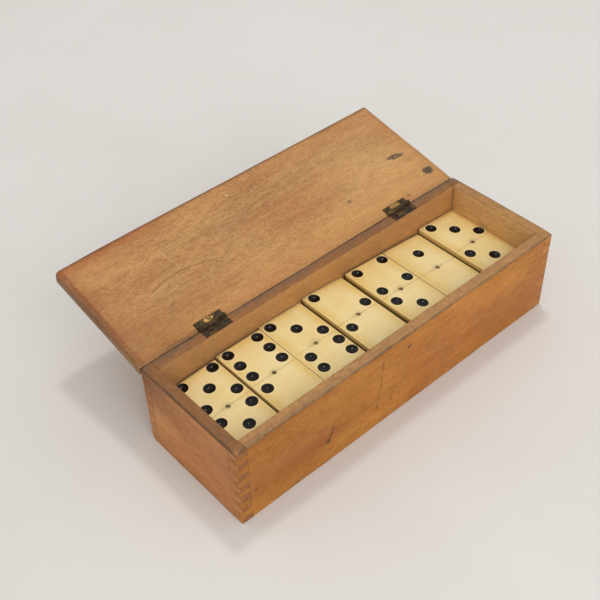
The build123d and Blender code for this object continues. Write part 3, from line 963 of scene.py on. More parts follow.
def block_cutter(low, high):
    """A block between two corners, to be cut out of something."""
    bm = bmesh.new()
    bmesh.ops.create_cube(bm, size=1.0)
    for vert in bm.verts:
        vert.co = Vector(low[axis] if vert.co[axis] < 0 else high[axis] for axis in range(3))
    return add_object("block_cutter", mesh_from("block_cutter", bm))


def rod_cutter(radius, x0, x1, y, z):
    """A rod along X, to be cut out of something."""
    bm = bmesh.new()
    turn = Matrix.Translation(((x0 + x1) / 2, y, z)) @ Matrix.Rotation(math.radians(90), 4, "Y")
    bmesh.ops.create_cone(bm, cap_ends=True, segments=32, radius1=radius, radius2=radius, depth=x1 - x0,
                          matrix=turn)
    return add_object("rod_cutter", mesh_from("rod_cutter", bm))


def dished(point, depth, scale=45.0):
    """How far wear has lowered the surface at a point, from 0 to depth, in smooth hollows."""
    level = noise.noise(point * scale) + 0.5 * noise.noise(point * scale * 2.7)
    return depth * min(1.0, max(0.0, 0.5 + 0.6 * level))


def wear_down(bm, low, high, depth):
    """Moves what lies on the faces of the box from low to high inwards, by smooth hollows."""
    for vert in bm.verts:
        point = vert.co.copy()
        for axis in range(3):
            if abs(point[axis] - low[axis]) < HAIR:
                vert.co[axis] += dished(point + Vector((axis, 0, 0)), depth)
            elif abs(point[axis] - high[axis]) < HAIR:
                vert.co[axis] -= dished(point + Vector((axis, 3, 0)), depth)


def drawn_in(a, b):
    """Draws a square's corner, where a and b are 1, into a quarter of a disc."""
    return a * math.sqrt(1.0 - b * b / 2), b * math.sqrt(1.0 - a * a / 2)


def rounded(point, low, high, corner, rims):
    """Where a point of a square-edged board goes: corner is the radius of the upright corner next to it,
    and rims are the radii of the lower and the upper arris next to it."""
    near = [min(point[axis] - low[axis], high[axis] - point[axis]) for axis in range(3)]
    way = [1.0 if point[axis] - low[axis] < high[axis] - point[axis] else -1.0 for axis in range(2)]
    place, z = Vector(point[:2]), point.z
    inward = Vector((way[0], 0.0)) if near[0] < near[1] else Vector((0.0, way[1]))
    if max(near[:2]) < corner:
        a, b = drawn_in(1.0 - near[0] / corner, 1.0 - near[1] / corner)
        out = Vector((-way[0] * a, -way[1] * b))
        place += Vector((way[0] * (corner - near[0]), way[1] * (corner - near[1]))) + out * corner
        inward = -out.normalized()
    depth = min(near[:2])
    for radius, height, up in ((rims[0], point.z - low.z, 1.0), (rims[1], high.z - point.z, -1.0)):
        if max(depth, height) < radius:
            a, b = 1.0 - depth / radius, 1.0 - height / radius
            new_a, new_b = drawn_in(a, b)
            place += inward * radius * (a - new_a)
            z += up * radius * (b - new_b)
    return Vector((*place, z))


# ---- The box ----


def mortise_cutters(spans, seat_low, seat_high, back, hinge):
    """Cutters for two leaves and their barrels, with the lid shut."""
    cutters = []
    fit = hinge.leaf_fit
    for low_x, high_x, edge_y in spans:
        cutters.append(block_cutter((low_x - fit, edge_y - fit, seat_low), (high_x + fit, back, seat_high)))
        cutters.append(rod_cutter(hinge.barrel_room, low_x - fit, high_x + fit, hinge_axis.y, hinge_axis.z))
    return cutters


def leaf_spans(part, turn):
    """(left end, right end, far edge) of a kind of leaf on both hinges, with the lid shut."""
    spans = []
    for side in ("left", "right"):
        low, high = reach([turn @ p for p in points_of([f"{side}_hinge_{part}_leaf"])])
        spans.append((low.x, high.x, low.y))
    return spans


def case_board(name, xs, ys, zs, filled, settings):
    """One board of the box with its fingers, worn and rounded."""
    bm = board_cells(xs, ys, zs, filled)
    half_length, half_width, height = case_high.x, case_high.y, case_high.z

    def radius_of(middle, direction):
        on_end = abs(abs(middle.x) - half_length) < HAIR
        on_side = abs(abs(middle.y) - half_width) < HAIR
        if on_end and on_side:
            return settings.corner_round
        if abs(middle.z - height) < HAIR:
            return settings.rim_round
        if middle.z < HAIR and (on_end or on_side):
            return settings.foot_round
        return settings.finger_round

    weigh_edges(bm, radius_of, settings.corner_round)
    wear_down(bm, Vector((-half_length, -half_width, 0.0)), case_high, settings.wear)
    for vert in bm.verts:
        if vert.co.z < settings.wear * 1.01:  # the box stands flat
            vert.co.z = 0.0
        from_corner = Vector((half_length - abs(vert.co.x), half_width - abs(vert.co.y))).length
        depth = settings.corner_wear + (settings.worst_corner if vert.co.x < 0 and vert.co.y < 0 else 0.0)
        if vert.co.z > height - 1 * MM:
            vert.co.z -= depth * max(0.0, 1.0 - from_corner / wall) ** 2
    made = add_object(name, mesh_from(name, bm))
    bevel(made, settings.corner_round)
    return to_plain(made)


class CaseOperator(bpy.types.Operator):
    """Build the four finger-jointed boards and finish the bottom panel"""

    bl_idname = "domino_box.build_case"
    bl_label = "Box boards"

    def execute(self, context):
        settings = context.scene.domino_case
        hinge = context.scene.domino_hinge
        group = wood_group()
        half_length, half_width, height = case_high.x, case_high.y, case_high.z
        rows = [height * row / settings.finger_rows for row in range(settings.finger_rows + 1)]

        def board_steps(half):
            inside = steps(wall - half, half - wall, CELL)
            return [-half, wall / 2 - half, *inside, half - wall / 2, half]

        long_steps, wide_steps = board_steps(half_length), board_steps(half_width)
        rebate = settings.panel_rebate
        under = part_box("bottom_panel")[1].z
        inner_x, inner_y = half_length - wall + rebate, half_width - wall + rebate

        front = wood("front_fruitwood", group, settings.front_light, settings.front_dark, fleck=0.7,
                     finish=front_finish)
        back = wood("back_fruitwood", group, settings.front_light, settings.front_dark,
                    shift=(0.3, 0.2, 0.1), cut=0.15, fleck=0.7, finish=case_finish)
        ends = [wood(f"{side}_end_fruitwood", group, settings.end_light, settings.end_dark, "Y",
                     shift=(0.1 * place, 0.4, 0.3), cut=1.5 - 1.2 * place, fleck=0.6, finish=case_finish)
                for place, side in enumerate(("left", "right"))]

        def long_filled(i, j, k):
            return k % 2 == 1 or 1 < i < len(long_steps) - 3

        def end_filled(i, j, k):
            return k % 2 == 0 or 1 < j < len(wide_steps) - 3

        depth = [0.0, wall / 2, wall]
        boards = {
            "front_board": (long_steps, [d - half_width for d in depth], long_filled, front, "front_wall"),
            "back_board": (long_steps, [half_width - d for d in depth[::-1]], long_filled, back, "back_wall"),
            "left_board": ([d - half_length for d in depth], wide_steps, end_filled, ends[0], "left_end"),
            "right_board": ([half_length - d for d in depth[::-1]], wide_steps, end_filled, ends[1],
                            "right_end"),
        }
        for name, (xs, ys, filled, material, node) in boards.items():
            made = case_board(name, xs, ys, rows, filled, settings)
            cutters = [block_cutter((-inner_x, -inner_y, -BEYOND), (inner_x, inner_y, under))]
            if node == "back_wall":
                spans = leaf_spans("box", Matrix.Identity(4))
                cutters += mortise_cutters(spans, height - hinge.leaf_thickness, height + BEYOND,
                                           half_width + BEYOND, hinge)
            sharpened(cut(made, cutters))
            made.data.materials.append(material)
            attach(made, "case")
            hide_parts(node)
        panel = wood("panel_fruitwood", group, settings.panel_light, settings.panel_dark,
                     shift=(0.5, 0.1, 0.7))
        nodes["bottom_panel"].data.materials.clear()
        nodes["bottom_panel"].data.materials.append(panel)
        return {"FINISHED"}


class LidOperator(bpy.types.Operator):
    """Build the lid board, worn at its corners and let in for the hinges"""

    bl_idname = "domino_box.build_lid"
    bl_label = "Lid board"

    def execute(self, context):
        settings = context.scene.domino_lid
        hinge = context.scene.domino_hinge
        parts = [part * MM for part in (0.0, 0.2, 0.4, 0.8, 1.2, 1.6, 2.1, 2.6)]  # close steps by an edge
        margin = 6 * MM
        spread = [steps(lid_low[axis] + margin, lid_high[axis] - margin, CELL) for axis in range(2)]
        xs, ys = ([*(lid_low[axis] + part for part in parts), *spread[axis],
                   *(lid_high[axis] - part for part in reversed(parts))] for axis in range(2))
        zs = [*(lid_low.z + part for part in parts[:6]),
              *(lid_high.z - part for part in reversed(parts[:5]))]
        bm = board_cells(xs, ys, zs, lambda i, j, k: True)

        def rounding(point):
            """The radii next to a point: its upright corner, its inner arris and its outer arris."""
            worn = min(1.0, max(0.0, (lid_low.x + 0.022 - point.x) / 0.018))
            if point.y > (lid_low.y + lid_high.y) / 2:
                worn *= min(1.0, max(0.0, (lid_high.y - 0.001 - point.y) / 0.002))
                back = lid_high.y - point.y < min(point.x - lid_low.x, lid_high.x - point.x)
                return 0.0, (0.0 if back else worn * settings.left_round), settings.edge_round
            corner = settings.left_corner if point.x < 0 else settings.right_corner
            inner = settings.inner_round + (settings.left_round - settings.inner_round) * worn
            return corner, inner, settings.edge_round

        shaped = []
        for vert in bm.verts:
            corner, *rims = rounding(vert.co)
            shaped.append((vert, rounded(vert.co, lid_low, lid_high, corner, rims) - vert.co))
        wear_down(bm, lid_low, lid_high, settings.wear)
        for vert, moved in shaped:
            vert.co += moved
        made = add_object("lid_plank", mesh_from("lid_plank", bm))
        cutters = mortise_cutters(leaf_spans("lid", to_shut), lid_low.z - BEYOND,
                                  lid_low.z + hinge.leaf_thickness, lid_high.y + BEYOND, hinge)
        sharpened(cut(made, cutters))
        made.data.transform(to_open)
        group = bpy.data.node_groups["fruitwood"]
        made.data.materials.append(wood("lid_fruitwood", group, settings.light, settings.dark,
                                        shift=(0.15, 0.6, 0.2), fleck=1.0, shut=True, finish=lid_finish))
        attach(made, "lid")
        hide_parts("lid_board")
        return {"FINISHED"}


# ---- Geometry Nodes ----


def new_tree(name, *inputs):
    """A Geometry Nodes tree with named inputs (label, kind, default), and its net, inputs and ending."""
    tree = bpy.data.node_groups.new(name, "GeometryNodeTree")
    tree.is_modifier = True
    tree.interface.new_socket("Geometry", in_out="INPUT", socket_type="NodeSocketGeometry")
    for label, kind, default in inputs:
        socket = tree.interface.new_socket(label, in_out="INPUT", socket_type=f"NodeSocket{kind}")
        if default is not None:
            socket.default_value = default
    tree.interface.new_socket("Geometry", in_out="OUTPUT", socket_type="NodeSocketGeometry")
    net = Net(tree)
    start = net.node("NodeGroupInput")
    given = {socket.name: Signal(net, socket) for socket in start.outputs if socket.name}
    return net, given


def run_tree(made, tree, **values):
    """Puts the tree on the object with these inputs, and turns the result into a plain mesh."""
    modifier = made.modifiers.new(tree.name, "NODES")
    modifier.node_group = tree
    wanted = {label.replace("_", " "): value for label, value in values.items()}
    for item in tree.interface.items_tree:
        if item.item_type == "SOCKET" and item.in_out == "INPUT" and item.name in wanted:
            modifier[item.identifier] = wanted.pop(item.name)
    if wanted:
        raise RuntimeError(f"{tree.name} has no input named {sorted(wanted)}")
    return to_plain(made)


def ended(net, geometry, material, smooth_angle=SHARP, extra=()):
    """The end of every tree: smooth shading, Realize Instances, Set Material and the output."""
    geometry = net.out("GeometryNodeSetShadeSmooth", {"Geometry": geometry, "Shade Smooth": True},
                       domain="FACE")
    sharp = net.out("GeometryNodeInputMeshEdgeAngle", key="Unsigned Angle") > math.radians(smooth_angle)
    geometry = net.out("GeometryNodeSetShadeSmooth",
                       {"Geometry": geometry, "Selection": sharp, "Shade Smooth": False}, domain="EDGE")
    geometry = net.out("GeometryNodeRealizeInstances", {"Geometry": geometry})
    geometry = net.out("GeometryNodeSetMaterial", {"Geometry": geometry, "Material": material})
    for more, where in extra:
        geometry = net.out("GeometryNodeSetMaterial",
                           {"Geometry": geometry, "Material": more, "Selection": where})
    net.node("NodeGroupOutput", {"Geometry": geometry})
    return net.tree


def pip_group(net, number, pitch, offset, shift):
    """The places of one half's pips: a grid of three by three, thinned by the rule of the number."""
    grid = net.out("GeometryNodeMeshGrid", {"Size X": pitch * 2.0, "Size Y": pitch * 2.0,
                                            "Vertices X": 3, "Vertices Y": 3}, key="Mesh")
    x, y, _ = net.split(net.out("GeometryNodeInputPosition"))
    i, j = x / pitch, y / pitch
    centre = ((abs(i) + abs(j)) < 0.5) * (net.math("MODULO", number, 2.0) > 0.5)
    falling = ((i * j) < -0.5) * (number > 1.5)
    rising = ((i * j) > 0.5) * (number > 3.5)
    sides = (abs(i) > 0.5) * (abs(j) < 0.5) * (number > 5.5)
    unwanted = (centre + falling + rising + sides) < 0.5
    kept = net.out("GeometryNodeDeleteGeometry", {"Geometry": grid, "Selection": unwanted}, domain="POINT")
    offset = net.vector("ADD", shift, net.join(0.0, offset, 0.0))
    return net.out("GeometryNodeSetPosition", {"Geometry": kept, "Offset": offset})


def tile_tree(name, material, pip=None):
    """Drills a slab for its pin and, where pip is given, sinks its pips and scribes its line."""
    net, given = new_tree(
        name, ("Centre", "Vector", None), ("Lean", "Float", 0.0),
        ("Pips Back", "Int", 0), ("Pips Front", "Int", 0), ("Shift Back", "Vector", None),
        ("Shift Front", "Vector", None), ("Steps", "Vector", None), ("Seed", "Int", 0),
        ("Pip Radius", "Float", 0.0025), ("Pip Depth", "Float", 0.0009), ("Pip Pitch", "Float", 0.0074),
        ("Group Offset", "Float", 0.0115), ("Line Width", "Float", 0.0002), ("Line Depth", "Float", 0.00008),
        ("Pin Radius", "Float", 0.0008), ("Tile Width", "Float", 0.022), ("Tile Length", "Float", 0.044),
        ("Segments", "Int", 32), ("Rings", "Int", 5))
    turn = net.join(0.0, given["Lean"], 0.0)

    def placed(cutter):
        return net.out("GeometryNodeTransform",
                       {"Geometry": cutter, "Translation": given["Centre"], "Rotation": turn})

    hole = net.out("GeometryNodeMeshCylinder", {"Vertices": 24, "Side Segments": 1, "Fill Segments": 1,
                                                "Radius": given["Pin Radius"], "Depth": given["Tile Width"]},
                   key="Mesh")
    cutters = [placed(hole)]
    points = None
    if pip:
        # Each pip is drilled by a short rod whose tip is part of a ball
        halves = [pip_group(net, given[f"Pips {half}"], given["Pip Pitch"], given["Group Offset"] * way,
                            given[f"Shift {half}"]) for half, way in (("Back", 1.0), ("Front", -1.0))]
        points = net.out("GeometryNodeJoinGeometry", {"Geometry": halves})
        depth = given["Pip Depth"]
        ball = (given["Pip Radius"] ** 2.0 + depth * depth) / (depth * 2.0)
        drill = net.out("GeometryNodeMeshCylinder",
                        {"Vertices": given["Segments"], "Side Segments": 1, "Fill Segments": given["Rings"],
                         "Radius": given["Pip Radius"] * 1.05, "Depth": depth * 2.0}, key="Mesh")
        x, y, z = net.split(net.out("GeometryNodeInputPosition"))
        out = net.vector("LENGTH", net.join(x, y, 0.0), key="Value")
        tip = ball - depth - net.math("SQRT", ball * ball - out * out)
        drill = net.out("GeometryNodeSetPosition",
                        {"Geometry": drill, "Selection": z < 0.0, "Position": net.join(x, y, tip)})
        balls = net.out("GeometryNodeInstanceOnPoints", {"Points": points, "Instance": drill})
        balls = net.out("GeometryNodeRealizeInstances", {"Geometry": balls})
        line = net.out("GeometryNodeMeshCube",
                       {"Size": net.join(given["Tile Width"] * 2.0, given["Line Width"],
                                         given["Line Depth"] * 2.0)}, key="Mesh")
        cutters += [placed(balls), placed(line)]
    body = net.out("GeometryNodeMeshBoolean", {"Mesh 1": given["Geometry"], "Mesh 2": cutters}, key="Mesh",
                   operation="DIFFERENCE", solver="EXACT")
    # What the materials read: the place on the tile, and the tile's own numbers
    away = net.vector("SUBTRACT", net.out("GeometryNodeInputPosition"), given["Centre"])
    level = net.out("ShaderNodeVectorRotate", {"Vector": away, "Angle": given["Lean"] * -1.0},
                    rotation_type="Y_AXIS")
    stored = (("tile_place", level),
              ("tile_pips", net.join(given["Pips Back"], given["Pips Front"], given["Seed"])),
              ("tile_spread", net.join(given["Tile Width"] / 2.0, given["Tile Length"] / 2.0, 0.0)),
              ("tile_shift_back", given["Shift Back"]), ("tile_shift_front", given["Shift Front"]),
              ("tile_steps", given["Steps"]))
    for label, value in stored:
        body = net.out("GeometryNodeStoreNamedAttribute", {"Geometry": body, "Name": label, "Value": value},
                       data_type="FLOAT_VECTOR", domain="POINT")
    extra = ()
    if pip:
        u, v, w = net.split(level)
        gap = net.out("GeometryNodeProximity", {0: points, "Sample Position": net.join(u, v, 0.0)},
                      key="Distance", target_element="POINTS")
        drilled = (given["Pips Back"] + given["Pips Front"]) > 0.5
        extra = ((pip, (gap < given["Pip Radius"]) * (w < -0.00002) * drilled),)
    return ended(net, body, material, extra=extra)


def pin_tree(material):
    """A domed pin on each point."""
    net, given = new_tree("tile_pins", ("Radius", "Float", 0.0008), ("Length", "Float", 0.006),
                          ("Dome", "Float", 0.0001))
    rod = net.out("GeometryNodeMeshCylinder",
                  {"Vertices": 24, "Side Segments": 2, "Fill Segments": 4, "Radius": given["Radius"],
                   "Depth": given["Length"] - given["Dome"] * 2.0}, key="Mesh")
    x, y, z = net.split(net.out("GeometryNodeInputPosition"))
    out = net.vector("LENGTH", net.join(x, y, 0.0), key="Value") / given["Radius"]
    rise = given["Dome"] * (1.0 - out * out) * net.math("SIGN", z)
    rod = net.out("GeometryNodeSetPosition", {"Geometry": rod, "Offset": net.join(0.0, 0.0, rise)})
    pins = net.out("GeometryNodeInstanceOnPoints", {"Points": given["Geometry"], "Instance": rod})
    return ended(net, pins, material, 50)


def screw_tree(material):
    """A countersunk screw on each point: its slotted, slightly domed head looks along Z before the turn."""
    net, given = new_tree(
        "hinge_screws", ("Turn", "Float", 0.0), ("Head Radius", "Float", 0.00093),
        ("Head Height", "Float", 0.0005), ("Head Dome", "Float", 0.0001), ("Shank Radius", "Float", 0.00043),
        ("Screw Length", "Float", 0.0034), ("Slot Width", "Float", 0.00025))
    head = net.out("GeometryNodeMeshCone",
                   {"Vertices": 32, "Side Segments": 1, "Fill Segments": 5,
                    "Radius Top": given["Head Radius"], "Radius Bottom": given["Shank Radius"],
                    "Depth": given["Head Height"]}, key="Mesh")
    x, y, z = net.split(net.out("GeometryNodeInputPosition"))
    out = net.vector("LENGTH", net.join(x, y, 0.0), key="Value") / given["Head Radius"]
    top = z > given["Head Height"] * 0.9
    rise = given["Head Dome"] * (1.0 - out * out) * top
    head = net.out("GeometryNodeSetPosition",
                   {"Geometry": head, "Offset": net.join(0.0, 0.0, rise - given["Head Height"])})
    slot = net.out("GeometryNodeMeshCube",
                   {"Size": net.join(given["Slot Width"], given["Head Radius"] * 4.0,
                                     given["Slot Width"] * 1.6)}, key="Mesh")
    slot = net.out("GeometryNodeTransform",
                   {"Geometry": slot, "Translation": net.join(0.0, 0.0, given["Head Dome"])})
    head = net.out("GeometryNodeMeshBoolean", {"Mesh 1": head, "Mesh 2": [slot]}, key="Mesh",
                   operation="DIFFERENCE", solver="EXACT")
    shank = net.out("GeometryNodeMeshCone",
                    {"Vertices": 16, "Radius Top": given["Shank Radius"] * 0.96, "Radius Bottom": 0.00008,
                     "Depth": given["Screw Length"] - given["Head Height"]}, key="Mesh")
    shank = net.out("GeometryNodeTransform",
                    {"Geometry": shank, "Translation": net.join(0.0, 0.0, given["Screw Length"] * -1.0)})
    whole = net.out("GeometryNodeJoinGeometry", {"Geometry": [head, shank]})
    screws = net.out("GeometryNodeInstanceOnPoints",
                     {"Points": given["Geometry"], "Instance": whole,
                      "Rotation": net.join(given["Turn"], 0.0, 0.0)})
    return ended(net, screws, material, 30)


def point_cloud(name, points):
    """An object whose mesh is bare points, for a tree to put things on."""
    mesh = bpy.data.meshes.new(name)
    mesh.from_pydata([tuple(p) for p in points], [], [])
    return add_object(name, mesh)


# ---- Hinges ----


class HingeOperator(bpy.types.Operator):
    """Finish the hinge leaves and pins, and drive the screws"""

    bl_idname = "domino_box.build_hinges"
    bl_label = "Hinges and screws"

    def execute(self, context):
        look = context.scene.domino_hinge

        def worn_patch(net, place):
            """Rubbed bright between the screws of each leaf, and a little all over."""
            x, y, _ = net.split(place)
            patch = 0.12
            for side in ("left", "right"):
                low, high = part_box(f"{side}_hinge_lid_leaf")
                middle = (low + high) / 2
                spot = net.spot(x, y, (middle.x, middle.y + 0.0008), (0.0026, 0.0014), soft=0.5)
                patch = net.most(spot, patch)
            return patch

        def little(net, place):
            """Rubbed here and there."""
            return net.fade(net.noise(place, 300.0, 2.0), 0.5, 0.7) * 0.35

        lid_brass = metal("rubbed_brass", look.patina, look.brass, worn_patch)
        box_brass = metal("dull_brass", look.patina, look.brass, little)
        screw = metal("screw_iron", look.screw, WORN_IRON, little)
        for side in ("left", "right"):
            for part, material in (("lid_leaf", lid_brass), ("box_leaf", box_brass), ("pin", box_brass)):
                mesh = nodes[f"{side}_hinge_{part}"].data
                mesh.materials.clear()
                mesh.materials.append(material)
        tree = screw_tree(screw)
        for part, body, turn in (("box", "case", Matrix.Identity(4)), ("lid", "lid", to_shut)):
            places = []
            names = [f"{side}_hinge_{part}_screws" for side in ("left", "right")]
            for name in names:
                low, high = reach([turn @ p for p in points_of([name])])
                face = high.z if part == "box" else low.z
                middle = (low.y + high.y) / 2
                inset = (high.y - low.y) / 2
                places += [Vector((low.x + inset, middle, face)), Vector((high.x - inset, middle, face))]
            back = turn.inverted()
            made = point_cloud(f"screws_in_{part}", [back @ p for p in places])
            lean = 0.0 if part == "box" else math.pi - open_angle
            run_tree(made, tree, Turn=lean, Head_Radius=look.head_radius, Head_Height=look.head_height,
                     Head_Dome=look.head_dome, Shank_Radius=look.shank_radius, Screw_Length=look.screw_length,
                     Slot_Width=look.slot_width)
            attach(made, body)
            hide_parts(*names)
        return {"FINISHED"}


# ---- Dominoes ----

# How far the hand-drilled pips of each half sit off their places, in mm to the right and to the back
DRILLED_OFF = {"domino_5_5": ((0.5, 0.3), (0.5, -0.2)), "domino_6_2": ((0.1, 0.0), (0.3, -0.3)),
               "domino_3_6": ((-0.2, -0.4), (0.8, -0.3)), "domino_2_2": ((0.3, -0.3), (-0.1, -0.1)),
               "domino_4_3": ((0.5, -0.2), (0.5, -0.2)), "domino_1_0": ((0.7, 0.2), (0.0, 0.0)),
               "domino_3_3": ((0.8, -0.4), (0.4, -0.5))}


class TileShape:
    """Where a tile lies, read from its CAD nodes: its sides, and its left and right edges' heights."""

    def __init__(self, tile):
        points = points_of(tile_nodes[tile])
        self.low, self.high = reach(points)
        self.width = self.high.x - self.low.x
        self.bottom = [self.edge_height(points, x, 0.0, min) for x in (self.low.x, self.high.x)]
        inset = bpy.context.scene.domino_tile.face_round
        tops = [self.edge_height(points, x, inset, max) for x in (self.low.x, self.high.x)]
        slope = (tops[1] - tops[0]) / (self.width - 2 * inset)
        self.top = [tops[0] - slope * inset, tops[1] + slope * inset]
        self.pips = [int(part) for part in tile.split("_")[1:]]

    @staticmethod
    def edge_height(points, x, inset, choose):
        return choose(p.z for p in points if abs(p.x - x) < inset + HAIR)

    def slab(self, name, low, high, side_round, top_round):
        """A slab between two pairs of edge heights, with rounded upright edges and a rounded face."""
        bm = bmesh.new()
        bmesh.ops.create_cube(bm, size=1.0)
        for vert in bm.verts:
            right, back, up = (part > 0 for part in vert.co)
            x = self.high.x if right else self.low.x
            y = self.high.y if back else self.low.y
            vert.co = Vector((x, y, (high if up else low)[right]))

        def radius_of(middle, direction):
            if abs(direction.z) > 0.9:
                return side_round
            return top_round if middle.z > (sum(low) + sum(high)) / 4 else 0.0

        weigh_edges(bm, radius_of, side_round)
        made = add_object(name, mesh_from(name, bm, 60))
        bevel(made, side_round, 4)
        return to_plain(made)


class TileOperator(bpy.types.Operator):
    """Build the dominoes: bone faces with their pips by rule, wooden backs and brass pins"""

    bl_idname = "domino_box.build_tiles"
    bl_label = "Dominoes"

    def execute(self, context):
        look = context.scene.domino_tile
        bone, pip = bone_material(look), pip_material(look)
        back_wood = plain_material("tile_back_wood", look.back, DARK_BACK, 0.4, 0.00008,
                                   (300.0, 30.0, 300.0), Coat_Weight=0.15, Coat_Roughness=0.3)
        brass = plain_material("tile_pin_brass", look.pin, PIN_TARNISH, 0.4, 0.00003,
                               (900.0, 900.0, 900.0), Metallic=0.6)
        face_tree = tile_tree("domino_face", bone, pip)
        back_tree = tile_tree("domino_back", back_wood)
        pins = pin_tree(brass)
        shapes = {tile: TileShape(tile) for tile in tiles}
        top_row = sorted((tile for tile in tiles if len(tile_nodes[tile]) > 1),
                         key=lambda tile: shapes[tile].low.x)
        for seed, tile in enumerate(tiles):
            shape = shapes[tile]
            steps_down = [0.0, 0.0]  # from this tile's left and right edges to its neighbours'
            if tile in top_row:
                place = top_row.index(tile)
                if place > 0:
                    steps_down[0] = shape.top[0] - shapes[top_row[place - 1]].top[1]
                if place < len(top_row) - 1:
                    steps_down[1] = shape.top[1] - shapes[top_row[place + 1]].top[0]
            seam = [height + look.back_thickness for height in shape.bottom]
            lean = math.atan2(shape.top[0] - shape.top[1], shape.width)
            middle = (shape.low + shape.high) / 2
            level = sum(shape.top) / 2
            own = tile_nodes[tile]
            shown = len(own) > 1
            name = tile.replace("domino", "tile")
            shifts = [(x * MM, y * MM, 0.0) for x, y in DRILLED_OFF.get(tile, ((0.0, 0.0), (0.0, 0.0)))]
            face = shape.slab(f"{name}_bone", seam, shape.top, look.side_round, look.face_round)
            values = {"Centre": (middle.x, middle.y, level), "Lean": lean, "Seed": seed,
                      "Pin_Radius": look.pin_radius, "Tile_Width": shape.width,
                      "Tile_Length": shape.high.y - shape.low.y, "Shift_Back": shifts[0],
                      "Shift_Front": shifts[1], "Steps": (*steps_down, 0.0)}
            run_tree(face, face_tree, Pips_Back=shape.pips[0], Pips_Front=shape.pips[1],
                     Pip_Radius=look.pip_radius, Pip_Depth=look.pip_depth, Pip_Pitch=look.pip_pitch,
                     Group_Offset=look.group_offset, Line_Width=look.line_width, Line_Depth=look.line_depth,
                     Segments=40 if shown else 16, Rings=6 if shown else 3, **values)
            back = shape.slab(f"{name}_wood", shape.bottom, seam, look.side_round, 0.0)
            run_tree(back, back_tree, **values)
            low = sum(shape.bottom) / 2 + look.pin_sink
            high = level - look.pin_sink
            pin = point_cloud(f"{name}_rivet", [(middle.x, middle.y, (low + high) / 2)])
            run_tree(pin, pins, Radius=look.pin_radius - HAIR, Length=high - low)
            for made, part, slot in ((face, "face", "tile_bone"), (back, "back", "tile_back_wood"),
                                     (pin, "pin", "tile_pin_brass")):
                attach(made, tile)
                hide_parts(f"{tile}_{part}" if shown else tile)
        return {"FINISHED"}


# ---- Stage ----


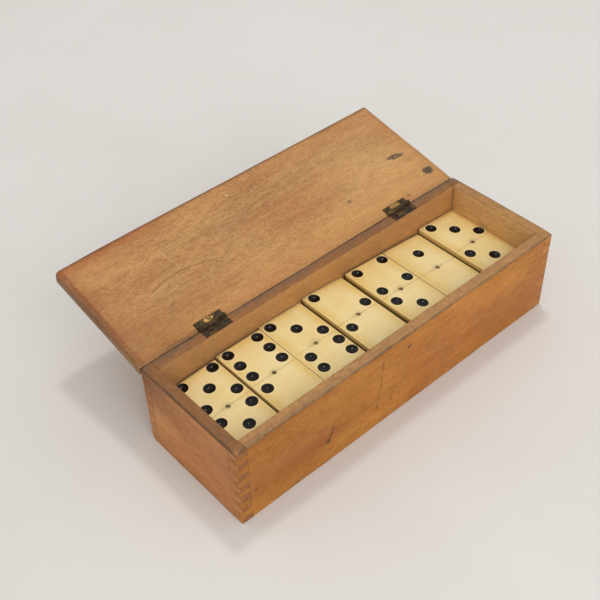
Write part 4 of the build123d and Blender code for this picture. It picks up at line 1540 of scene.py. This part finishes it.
class StageOperator(bpy.types.Operator):
    """Set out the floor, the lamps, the room's light and the camera"""

    bl_idname = "domino_box.build_stage"
    bl_label = "Stage"

    def execute(self, context):
        look = context.scene.domino_stage
        scene = context.scene
        scene.view_settings.view_transform = "Standard"

        bm = bmesh.new()
        bmesh.ops.create_grid(bm, x_segments=2, y_segments=2, size=3.0)
        bmesh.ops.translate(bm, vec=(0, 0, -0.02 * MM), verts=bm.verts)
        floor = add_object("floor", mesh_from("floor", bm))

        def draw_floor(net, surface):
            place = net.out("ShaderNodeTexCoord", key="Object")
            cloud = net.noise(place, 7.0, 4.0, 0.6)
            shade = net.tint(look.floor, tone(219, 214, 209), net.fade(cloud, 0.3, 0.7) * 0.5)
            smudge = net.fade(net.noise(place, 46.0, 3.0, 0.6), 0.66, 0.8) * 0.12
            shade = net.tint(shade, SMUDGE, smudge)
            set_surface(net, surface, shade, 0.62, cloud, 0.0004, Specular_IOR_Level=0.3)

        floor.data.materials.append(painted("pale_plaster", draw_floor))

        world = bpy.data.worlds.new("pale_room")
        scene.world = world
        world.use_nodes = True
        net = Net(world.node_tree)
        path = net.node("ShaderNodeLightPath")
        seen = Signal(net, path.outputs["Is Camera Ray"])
        for key in ("Is Glossy Ray", "Is Transmission Ray"):
            seen = net.most(seen, Signal(net, path.outputs[key]))
        lit = net.out("ShaderNodeBackground", {"Color": (1.0, 0.99, 0.97, 1.0), "Strength": look.room_light})
        shown = net.out("ShaderNodeBackground", {"Color": look.backdrop, "Strength": 1.0})
        mixed = net.out("ShaderNodeMixShader", {0: seen, 1: lit, 2: shown})
        net.node("ShaderNodeOutputWorld", {"Surface": mixed})

        lamps = (("key_lamp", look.key_power, (-0.25, -1.12, 0.86), 1.0),
                 ("top_lamp", look.top_power, (0.21, 0.21, 1.20), 0.12))
        for name, power, place, size in lamps:
            light = bpy.data.lights.new(name, "AREA")
            light.shape = "SQUARE"
            light.size = size
            light.energy = power
            lamp = bpy.data.objects.new(name, light)
            lamp.location = place
            lamp.rotation_euler = (-Vector(place)).to_track_quat("-Z", "Y").to_euler()
            scene.collection.objects.link(lamp)

        camera = bpy.data.cameras.new("photo_camera")
        camera.sensor_width = 36.0
        camera.lens = look.camera_lens
        camera.clip_start = 0.01
        eye = bpy.data.objects.new("photo_camera", camera)
        scene.collection.objects.link(eye)
        turn, rise, roll = look.camera_azimuth, look.camera_elevation, look.camera_roll
        back = Vector((math.sin(turn) * math.cos(rise), -math.cos(turn) * math.cos(rise), math.sin(rise)))
        right = (-back).cross(Vector((0, 0, 1))).normalized()
        up = right.cross(-back)
        across = right * math.cos(roll) + up * math.sin(roll)
        upward = up * math.cos(roll) - right * math.sin(roll)
        turned = Matrix((across, upward, back)).transposed().to_4x4()
        eye.matrix_world = Matrix.Translation(look.camera_place) @ turned
        scene.camera = eye
        return {"FINISHED"}


# ---- Panel and running ----

OPERATORS = (CaseOperator, LidOperator, HingeOperator, TileOperator, StageOperator)


class DominoBoxPanel(bpy.types.Panel):
    """The steps that dress the box, and their settings"""

    bl_idname = "VIEW3D_PT_domino_box"
    bl_label = "Domino box"
    bl_space_type = "VIEW_3D"
    bl_region_type = "UI"
    bl_category = "Domino box"

    def draw(self, context):
        for operator in OPERATORS:
            self.layout.operator(operator.bl_idname)
        for key, group in GROUPS.items():
            box = self.layout.box()
            for name in group.__annotations__:
                box.prop(getattr(context.scene, key), name)


CLASSES = (*GROUPS.values(), *OPERATORS, DominoBoxPanel)


def register():
    for one in CLASSES:
        bpy.utils.register_class(one)
    for key, group in GROUPS.items():
        setattr(bpy.types.Scene, key, bpy.props.PointerProperty(type=group))


def unregister():
    for key in GROUPS:
        delattr(bpy.types.Scene, key)
    for one in reversed(CLASSES):
        bpy.utils.unregister_class(one)


def main():
    register()
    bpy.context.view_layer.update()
    for operator in OPERATORS:
        family, action = operator.bl_idname.split(".")
        getattr(getattr(bpy.ops, family), action)()


if __name__ == "__main__":
    main()
